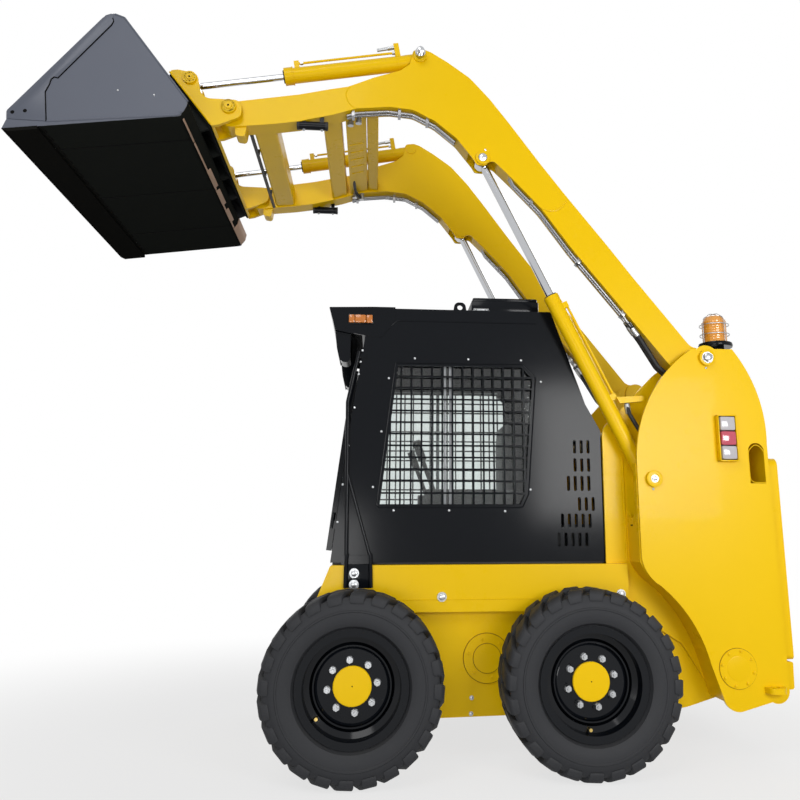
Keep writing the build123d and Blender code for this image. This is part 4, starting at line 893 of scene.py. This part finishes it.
FRONT_ARC = [(577, 3156), (592, 3138), (598, 3118), (596, 3098), (586, 3076), (570, 3056), (549, 3042)]
REAR_TONGUE = [(-374, 2549), (-396, 2538), (-416, 2532), (-438, 2533), (-459, 2539), (-484, 2560),
               (-503, 2587)]
TIP_WELD = [(1149, 2925), (1085, 2925)]
PIN_STACK = [(0, 0), (0, 0.021), (0.030, 0.021), (0.030, 0.026), (0.036, 0.026), (0.036, 0.017),
             (0.052, 0.017), (0.052, 0)]
GREASE_NIPPLE = (LIFT_PIN[0] - 14, LIFT_PIN[1] + 44)
LINE_JOINT = Vector((-795, 0, 1975))
LINE_WAY = Vector((-0.565, 0, -0.825))
LINE_FITTING = ((-14, 8, 0.0125, 6), (8, 16, 0.010, 16), (16, 62, 0.0142, 20))    # near, far, radius, steps
LINE_CLAMPS = ((-772, 2020), (-560, 2281))
CROSS_FITTINGS = ((575, 462), (534, 488))                        # x, y
CROSS_FITTING = ((3054, 3040, 0.017, 6), (3042, 3014, 0.012, 16), (3020, 3002, 0.0155, 20))
COUPLER = [(0, 0.016), (0.020, 0.016), (0.022, 0.013), (0.048, 0.013), (0.050, 0.011), (0.050, 0.0)]
LINK_HOSE = [(579, -262, 3054), (577, -300, 3042), (574, -380, 3034), (568, -430, 3026), (550, -462, 3016),
             (534, -488, 3012)]


class LOADER_OT_boom(bpy.types.Operator):
    """Welds, pin bosses, clamps, couplers and hose fittings of the boom"""
    bl_idname = "loader.boom"
    bl_label = "Boom trim"

    def execute(self, context):
        size = context.scene.loader_trim
        welds = [line(FRONT_ARC, ARM_SIDE - 1, size.weld * 0.8, 0.02),
                 line(REAR_TONGUE, ARM_SIDE - 1, size.weld, 0.02), line(TIP_WELD, ARM_SIDE - 10, size.weld),
                 pin_boss(LIFT_PIN, ARM_SIDE, 36, 9), pin_boss(TILT_BASE, ARM_SIDE, 34, 10)]
        make_piece("boom_welds", [mirrored("yellow_paint", welds)], "boom")
        pins = [turned(PIN_STACK, beside(TILT_BASE, ARM_SIDE + 4), LEFT, 28),
                bolt(beside(TILT_BASE, ARM_SIDE + 55), LEFT, 0.015),
                bolt(beside(LIFT_PIN, ARM_SIDE + 6), LEFT, 0.016),
                screw(beside(GREASE_NIPPLE, ARM_SIDE), LEFT, 0.006)]
        make_piece("boom_pins", [mirrored("rod_chrome", pins)], "boom")
        fittings = []
        for y, step in ((521, 0), (547, 16)):
            base = LINE_JOINT + LINE_WAY * step
            for near, far, radius, steps in LINE_FITTING:
                spots = [base + LINE_WAY * run for run in (near, far)]
                fittings.append(rod(*[at(spot.x, y, spot.z) for spot in spots], radius, steps))
            for turn in range(4):
                spot = base + LINE_WAY * (22 + turn * 10)
                fittings.append(rod(at(spot.x, y, spot.z), at(spot.x - 2.5, y, spot.z - 3.5), 0.0152, 20))
        fittings += [plate([(x - 10, z - 4), (x + 2, z - 18), (x + 16, z - 6), (x + 4, z + 8)], 506, 562, 2)
                     for x, z in LINE_CLAMPS]
        for x, y in CROSS_FITTINGS:
            fittings += [rod(at(x, y, top), at(x, y, foot), radius, steps)
                         for top, foot, radius, steps in CROSS_FITTING]
        make_piece("boom_fittings", [mirrored("zinc", fittings)], "boom")
        body = brick(at(505, 180, 3124), at(596, 300, 3150), 0.003)
        couplers = []
        for y in (206, 240, 274):
            place = at(556, y, 3148)
            couplers += [turned(COUPLER, place, UP, 24), bar(place, UP, 0, 0.014, 0.019, 6)]
        link = pipe([at(*place) for place in LINK_HOSE], 0.009, 0.02)
        pairs = [(body, "yellow_paint"), (joined(couplers), "zinc"), (link, "hose_rubber")]
        make_piece("coupler_block", pairs, "boom")
        caps = [rod(at(x, 546, 2948), at(x + 12, 546, 2948), 0.0222, 24) for x in (682, 822)]
        bolts = [bolt(at(x, 546, 2927.5), -UP, 0.006) for x in (712, 800)]
        pairs = [mirrored("hose_rubber", caps), mirrored("zinc", bolts)]
        make_piece("valve_caps", pairs, "boom")
        return {"FINISHED"}


LIFT_NUTS = (                # x, y, z of both ends, radius, steps
    ((-755, 548, 1606), (-763, 548, 1590), 0.013, 6), ((-763, 548, 1591), (-767, 548, 1574), 0.0105, 16),
    ((-767, 549, 1575), (-772, 553, 1530), 0.0135, 16))
TILT_FITTINGS = (            # run and offset of both ends, radius, steps
    (105, 96, 150, 93, 0.012, 6), (150, 93, 205, 90, 0.0085, 16), (602, 64, 588, 64, 0.0095, 6),
    (118, 64, 132, 64, 0.0095, 6))
LIFT_WIPER = [(0, 0.021), (0, 0.033), (0.006, 0.031), (0.006, 0.021)]
TILT_WIPER = [(0, 0.017), (0, 0.034), (0.006, 0.031), (0.006, 0.017)]
BAND_DEPTH = 0.006
ROD_TAIL = [(0, 0), (0, 0.0115), (0.004, 0.0155), (0.168, 0.0155), (0.168, 0)]


def pin_line(base, pin):
    """Direction from pin to pin, and the function that gives places along and beside their line."""
    start = Vector((base[0], 0, base[1]))
    way = (Vector((pin[0], 0, pin[1])) - start).normalized()

    def spot(run, offset=0):
        place = start + way * run + Vector((-way.z, 0, way.x)) * offset
        return at(place.x, ARM_MIDDLE, place.z)

    return way, spot


class LOADER_OT_cylinders(bpy.types.Operator):
    """Gland rings, fittings and hose stubs of the cylinders"""
    bl_idname = "loader.cylinders"
    bl_label = "Cylinder trim"

    def execute(self, context):
        for side, sign in SIDES:
            way, spot = pin_line(LIFT_BASE, LIFT_PIN)
            wiper = turned(LIFT_WIPER, spot(985), way, ring=True)
            band = hoop(spot(936), way, 0, 0.005, 0.0392, BAND_DEPTH)
            nuts = joined([rod(at(*near), at(*far), radius, steps)
                           for near, far, radius, steps in LIFT_NUTS])
            pairs = [(wiper, "hose_rubber"), (band, "yellow_paint"), (nuts, "zinc")]
            make_piece("lift_trim_" + side, on_side(pairs, sign), "lift_barrel_" + side)

            way, spot = pin_line(TILT_BASE, TILT_PIN)
            wiper = turned(TILT_WIPER, spot(690), way, ring=True)
            bands = joined([hoop(spot(644), way, 0, 0.005, 0.0465, BAND_DEPTH),
                            hoop(spot(104), way, 0, 0.008, 0.0412, BAND_DEPTH)])
            fittings = joined([rod(spot(*ends[:2]), spot(*ends[2:]), radius, steps)
                               for *ends, radius, steps in TILT_FITTINGS])
            pairs = [(wiper, "hose_rubber"), (bands, "yellow_paint"), (fittings, "zinc")]
            make_piece("tilt_trim_" + side, on_side(pairs, sign), "tilt_barrel_" + side)

            tail = [(turned(ROD_TAIL, spot(490), way), "rod_chrome")]
            make_piece("tilt_rod_tail_" + side, on_side(tail, sign), "tilt_rod_" + side)
        return {"FINISHED"}


STRIP_GAP = [(1887, 2752), (1905, 2893), (1891, 2931), (1886, 2956), (1874, 2968), (1858, 2964),
             (1650, 3243), (1643, 3262), (1649, 3278)]
MOUTH_STRIP = [(1656, 3300), (1680, 3290), (2056, 2797), (2052, 2756)] + STRIP_GAP[:-1] + [(1646, 3286)]
SIDE_WELD = [(1316, 2828), (1318, 2812), (1340, 2808), (1886, 2752)]
BACK_WELD = [(1290, 2880), (1598, 3284), (1640, 3299)]
SIDE_HOLES = [(2032, 2788), (1980, 2797)]
SIDE_HOLE = [(-0.002, 0), (-0.002, 0.008), (0.0006, 0.0085), (0.0006, 0)]
SIDE_DOTS = [(1596, 2918), (1437, 2903)]
HEEL_SHAPES = {
    "edge": [(1313, 2805.5), (1308, 2812), (1305.5, 2810), (1310.5, 2802)],
    "half": [(1314, 2805), (1298, 2824), (1294.5, 2822), (1311, 2802)],
    "full": [(1314, 2805), (1291, 2836), (1284, 2874), (1280.5, 2873), (1287.5, 2834), (1311, 2802)]}
HEEL_BARE = [                # low y, high y, shape
    (606, 826, "edge"), (50, 592, "edge"), (-520, 38, "edge"), (70, 280, "half"), (-170, 24, "half"),
    (-430, -250, "half"), (-826, -536, "full")]
FLOOR_SEAMS = (628, 56, -490)
BEAD_STEP = 26
EAR_WELD = [(1239, 2905), (1449, 3171)]


class LOADER_OT_bucket(bpy.types.Operator):
    """Edge strips, welds, holes and bolts of the bucket and its carrier"""
    bl_idname = "loader.bucket"
    bl_label = "Bucket trim"

    def execute(self, context):
        size = context.scene.loader_trim
        # The edge strips share the side plates' blue grey, with its painted sky reflection.
        strips = [plate(MOUTH_STRIP, BUCKET_SIDE, BUCKET_SIDE + 3, 1.2),
                  line(SIDE_WELD, BUCKET_SIDE - 2, size.weld, 0.012),
                  line(BACK_WELD, BUCKET_SIDE - 2, size.weld, 0.02)]
        # The side holes and the gap along the edge strip are near-black: painted shade.
        gaps = [turned(SIDE_HOLE, beside(hole, BUCKET_SIDE + 3), LEFT, 20) for hole in SIDE_HOLES]
        gaps.append(line(STRIP_GAP, BUCKET_SIDE + 1, 0.003))
        dots = fixings(screw, SIDE_DOTS, BUCKET_SIDE, 0.005)
        heel = joined([plate(HEEL_SHAPES[shape], low, high, 0.3) for low, high, shape in HEEL_BARE])
        pairs = [mirrored("bucket_side_paint_and_sky_reflection", strips), mirrored("painted_gap_shade", gaps), mirrored("zinc", dots),
                 (heel, "worn_primer")]
        make_piece("bucket_strips", pairs, "carrier")
        # Thin near-black lines along the floor's seams, in the same painted shade as the gaps.
        seams = joined([pipe([at(1902, y, 2728.5), at(1318, y, 2805)], 0.002) for y in FLOOR_SEAMS])
        bead = []
        for step, y in enumerate(range(-840, 840, BEAD_STEP)):
            start, end = 1906 + 5 * (step % 3), 1908 + 5 * (step * 7 % 3)
            bead.append(rod(at(start, y, 2727), at(end, y + BEAD_STEP, 2727), 0.005, 8))
        pairs = [(seams, "painted_gap_shade"), (joined(bead), "edge_steel")]
        make_piece("bucket_floor_seams", pairs, "carrier")
        rings = []
        sockets = []
        for pin, radius in ((TILT_PIN, 30), (CARRIER_PIN, 36)):
            head = [(0.010, 0), (0.010, radius * 0.5 * MM), (0.017, radius * 0.46 * MM), (0.017, 0)]
            rings += [pin_boss(pin, EAR_SIDE, radius, 12), turned(head, beside(pin, EAR_SIDE), LEFT, 24)]
            # The pins' sockets are near-black rods: painted shade in the recess.
            sockets.append(rod(beside(pin, EAR_SIDE + 16), beside(pin, EAR_SIDE + 17.4), 0.0055, 6))
        rings.append(line(EAR_WELD, EAR_SIDE, size.weld * 0.8))
        pairs = [mirrored("yellow_paint", rings), mirrored("painted_gap_shade", sockets)]
        make_piece("carrier_rings", pairs, "carrier")
        return {"FINISHED"}


CUSHIONS = (                 # name, low corner, high corner, crown
    ("seat_cushion", (-300, -225, 1020), (100, 225, 1100), Vector((0, 0, 0.012))),
    ("seat_back", (-370, -215, 1090), (-250, 215, 1545), Vector((0.02, 0, 0))))


class LOADER_OT_seat(bpy.types.Operator):
    """Padded seat on its pan"""
    bl_idname = "loader.seat"
    bl_label = "Seat"

    def execute(self, context):
        pan = joined([brick(at(-330, -190, 881), at(40, 190, 1008), 0.012),
                      brick(at(-345, -215, 1006), at(95, 215, 1022), 0.006)])
        pan_piece = make_piece("seat_pan", [(pan, "lever_plastic")], "frame")
        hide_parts("seat")
        for name, low_corner, high_corner, crown in CUSHIONS:
            low, high = at(*low_corner), at(*high_corner)
            bm = brick(low, high)
            bmesh.ops.subdivide_edges(bm, edges=bm.edges[:], cuts=5, use_grid_fill=True)
            middle = (low + high) / 2
            half = (high - low) / 2
            for vert in bm.verts:
                share = [min(1.0, abs(vert.co[i] - middle[i]) / half[i]) for i in range(3)]
                bulge = (1 - share[0] ** 4) * (1 - share[1] ** 4) * (1 - share[2] ** 4)
                on_one_face = sum(1 for value in share if value > 0.99) == 1
                if on_one_face and vert.co.dot(crown) > middle.dot(crown):
                    vert.co += crown
                vert.co = middle + (vert.co - middle) * (0.97 + 0.03 * bulge)
            cushion = make_piece(name, [(closed(bm), "seat_vinyl")], "frame", 180.0)
            smooth = cushion.modifiers.new("smooth", "SUBSURF")
            smooth.levels = 2
            smooth.render_levels = 2
        return {"FINISHED"}


REAR_X = -1462
GRILLE_ROWS = (752, 1202)
GRILLE_POSTS = (-333, -167, 0, 167, 333)


class LOADER_OT_rear(bpy.types.Operator):
    """Grille and number lamp of the rear door"""
    bl_idname = "loader.rear"
    bl_label = "Rear door trim"

    def execute(self, context):
        bars = [brick(at(REAR_X - 1, -336, z), at(REAR_X + 3, 336, z + 6), 0.001) for z in GRILLE_ROWS]
        bars += [brick(at(REAR_X - 1, y - 3, 752), at(REAR_X + 4, y + 3, 1208), 0.001) for y in GRILLE_POSTS]
        lens = brick(at(REAR_X - 3, -40, 1236), at(REAR_X + 1, 40, 1262), 0.0015)
        pairs = [(joined(bars), "black_paint"), (lens, "clear_lens")]
        make_piece("rear_door_trim", pairs, "rear_door")
        return {"FINISHED"}


CAMERA_PLACE = (416.3, 4270.0, 995.5)
CAMERA_YAW = -0.0946
CAMERA_PITCH = 0.2187
CAMERA_ROLL = -0.0021
CAMERA_LENS = 36.449
CAMERA_SENSOR = 36.0
CAMERA_SHIFT = (-0.0660, -0.0631)
CAMERA_REACH = 200.0
FLOOR_HALF = 40.0
FLOOR_TONES = (0.52, 0.54)
FADE_RADII = (1.2, 4.5)      # where the floor starts and ends to fade into the background
FADE_START = 0.72            # share of the background at the first radius and inside it
BACKDROP = 1.0               # brightness of the background, as seen
SKY = 0.27                   # even light from all round
WHITE = (1, 1, 1, 1)

LAMPS = [
    # name, place, aim, width, height, power
    ("key", (1.8, 5.4, 5.8), (0, 0, 1.2), 3.0, 3.0, 130.0),
    ("fill", (-2.4, 4.9, 1.8), (-2.4, 0, 1.8), 1.8, 1.4, 115.0),
    ("low", (1.4, 5.8, 0.7), (0, 0, 0.9), 2.4, 1.0, 70.0),
    ("rear", (-3.0, -4.4, 4.6), (0, 0, 1.4), 3.0, 3.0, 70.0),
    ("front", (5.2, -2.6, 4.4), (0.4, 0, 1.6), 2.6, 2.6, 12.0),
]


def seen_rays(tree):
    """1 for rays that show the background: straight from the camera, mirrored or through glass."""
    rays = tree.nodes.new("ShaderNodeLightPath").outputs
    mirrored_or_through = larger(tree, rays["Is Glossy Ray"], rays["Is Transmission Ray"])
    return larger(tree, rays["Is Camera Ray"], mirrored_or_through)


class LOADER_OT_stage(bpy.types.Operator):
    """Camera, pale floor and soft studio lamps"""
    bl_idname = "loader.stage"
    bl_label = "Stage"

    def execute(self, context):
        scene = context.scene
        self.make_camera(scene)
        self.make_floor(scene)
        self.make_world(scene)
        for name, place, aim, width, height, power in LAMPS:
            data = bpy.data.lights.new(name, "AREA")
            data.shape = "RECTANGLE"
            data.size = width
            data.size_y = height
            data.energy = power
            lamp = bpy.data.objects.new(name, data)
            lamp.location = place
            lamp.rotation_euler = (Vector(aim) - Vector(place)).to_track_quat("-Z", "Y").to_euler()
            scene.collection.objects.link(lamp)
        scene.view_settings.view_transform = "Standard"
        return {"FINISHED"}

    def make_camera(self, scene):
        """Camera on the left side of the machine, a little below its middle height."""
        data = bpy.data.cameras.new("camera")
        data.sensor_width = CAMERA_SENSOR
        data.lens = CAMERA_LENS
        data.shift_x, data.shift_y = CAMERA_SHIFT
        data.clip_end = CAMERA_REACH
        camera = bpy.data.objects.new("camera", data)
        scene.collection.objects.link(camera)
        level = math.cos(CAMERA_PITCH)
        look = Vector((math.sin(CAMERA_YAW) * level, -math.cos(CAMERA_YAW) * level, math.sin(CAMERA_PITCH)))
        right = look.cross(UP).normalized()
        turn = Matrix((right, right.cross(look), -look)).transposed().to_4x4()
        rolled = turn @ Matrix.Rotation(CAMERA_ROLL, 4, "Z")
        camera.matrix_world = Matrix.Translation(at(*CAMERA_PLACE)) @ rolled
        scene.camera = camera

    def make_floor(self, scene):
        """Pale floor that fades into the background away from the machine."""
        bm = bmesh.new()
        bmesh.ops.create_grid(bm, x_segments=1, y_segments=1, size=FLOOR_HALF)
        mesh = bpy.data.meshes.new("floor")
        bm.to_mesh(mesh)
        bm.free()
        floor = bpy.data.objects.new("floor", mesh)
        scene.collection.objects.link(floor)
        tree, inputs = start_material("floor_finish", {"Roughness": 0.9, "Specular IOR Level": 0.1})
        place = object_place(tree)
        dark, pale = ((tone, tone, tone, 1) for tone in FLOOR_TONES)
        put(tree, inputs["Base Color"], mixed(tree, noise(tree, place, 1.3, 2.0), dark, pale))
        reach = add_node(tree, "ShaderNodeVectorMath", {0: place}, operation="LENGTH").outputs["Value"]
        fade = add_node(tree, "ShaderNodeMapRange", {
            "Value": reach, "From Min": FADE_RADII[0], "From Max": FADE_RADII[1], "To Min": FADE_START,
        }, interpolation_type="SMOOTHSTEP").outputs["Result"]
        far = add_node(tree, "ShaderNodeEmission", {"Color": WHITE, "Strength": BACKDROP}).outputs[0]
        near = tree.nodes["Principled BSDF"].outputs[0]
        seen = blended(tree, times(tree, fade, seen_rays(tree)), near, far)
        put(tree, tree.nodes["Material Output"].inputs["Surface"], seen)
        mesh.materials.append(MATERIALS["floor_finish"])

    def make_world(self, scene):
        """White background for the camera, and a dimmer even light for the machine."""
        world = bpy.data.worlds.new("world")
        world.use_nodes = True
        scene.world = world
        tree = world.node_tree
        light = add_node(tree, "ShaderNodeBackground", {"Color": WHITE, "Strength": SKY}).outputs[0]
        seen = add_node(tree, "ShaderNodeBackground", {"Color": WHITE, "Strength": BACKDROP}).outputs[0]
        surface_input = tree.nodes["World Output"].inputs["Surface"]
        put(tree, surface_input, blended(tree, seen_rays(tree), light, seen))


class LOADER_PT_panel(bpy.types.Panel):
    """Lists the loader's operators"""
    bl_idname = "LOADER_PT_panel"
    bl_label = "Loader"
    bl_space_type = "VIEW_3D"
    bl_region_type = "UI"
    bl_category = "Loader"

    def draw(self, context):
        for operator in STEPS:
            self.layout.operator(operator.bl_idname)


STEPS = [
    LOADER_OT_finishes, LOADER_OT_tyres, LOADER_OT_wheels, LOADER_OT_cab, LOADER_OT_lamps, LOADER_OT_hull,
    LOADER_OT_boom, LOADER_OT_cylinders, LOADER_OT_bucket, LOADER_OT_seat, LOADER_OT_rear, LOADER_OT_stage,
]
PROPERTIES = {"loader_finishes": LoaderFinishes, "loader_tyres": TyreSizes, "loader_trim": TrimSizes}
CLASSES = [*PROPERTIES.values(), *STEPS, LOADER_PT_panel]


def register():
    """Registers the classes and their properties."""
    for entry in CLASSES:
        bpy.utils.register_class(entry)
    for name, entry in PROPERTIES.items():
        setattr(bpy.types.Scene, name, PointerProperty(type=entry))


def unregister():
    """Takes the classes and their properties away again."""
    for name in PROPERTIES:
        delattr(bpy.types.Scene, name)
    for entry in reversed(CLASSES):
        bpy.utils.unregister_class(entry)


def main():
    """Makes the whole machine."""
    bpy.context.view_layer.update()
    register()
    for operator in STEPS:
        group, name = operator.bl_idname.split(".")
        getattr(getattr(bpy.ops, group), name)()


if __name__ == "__main__":
    main()
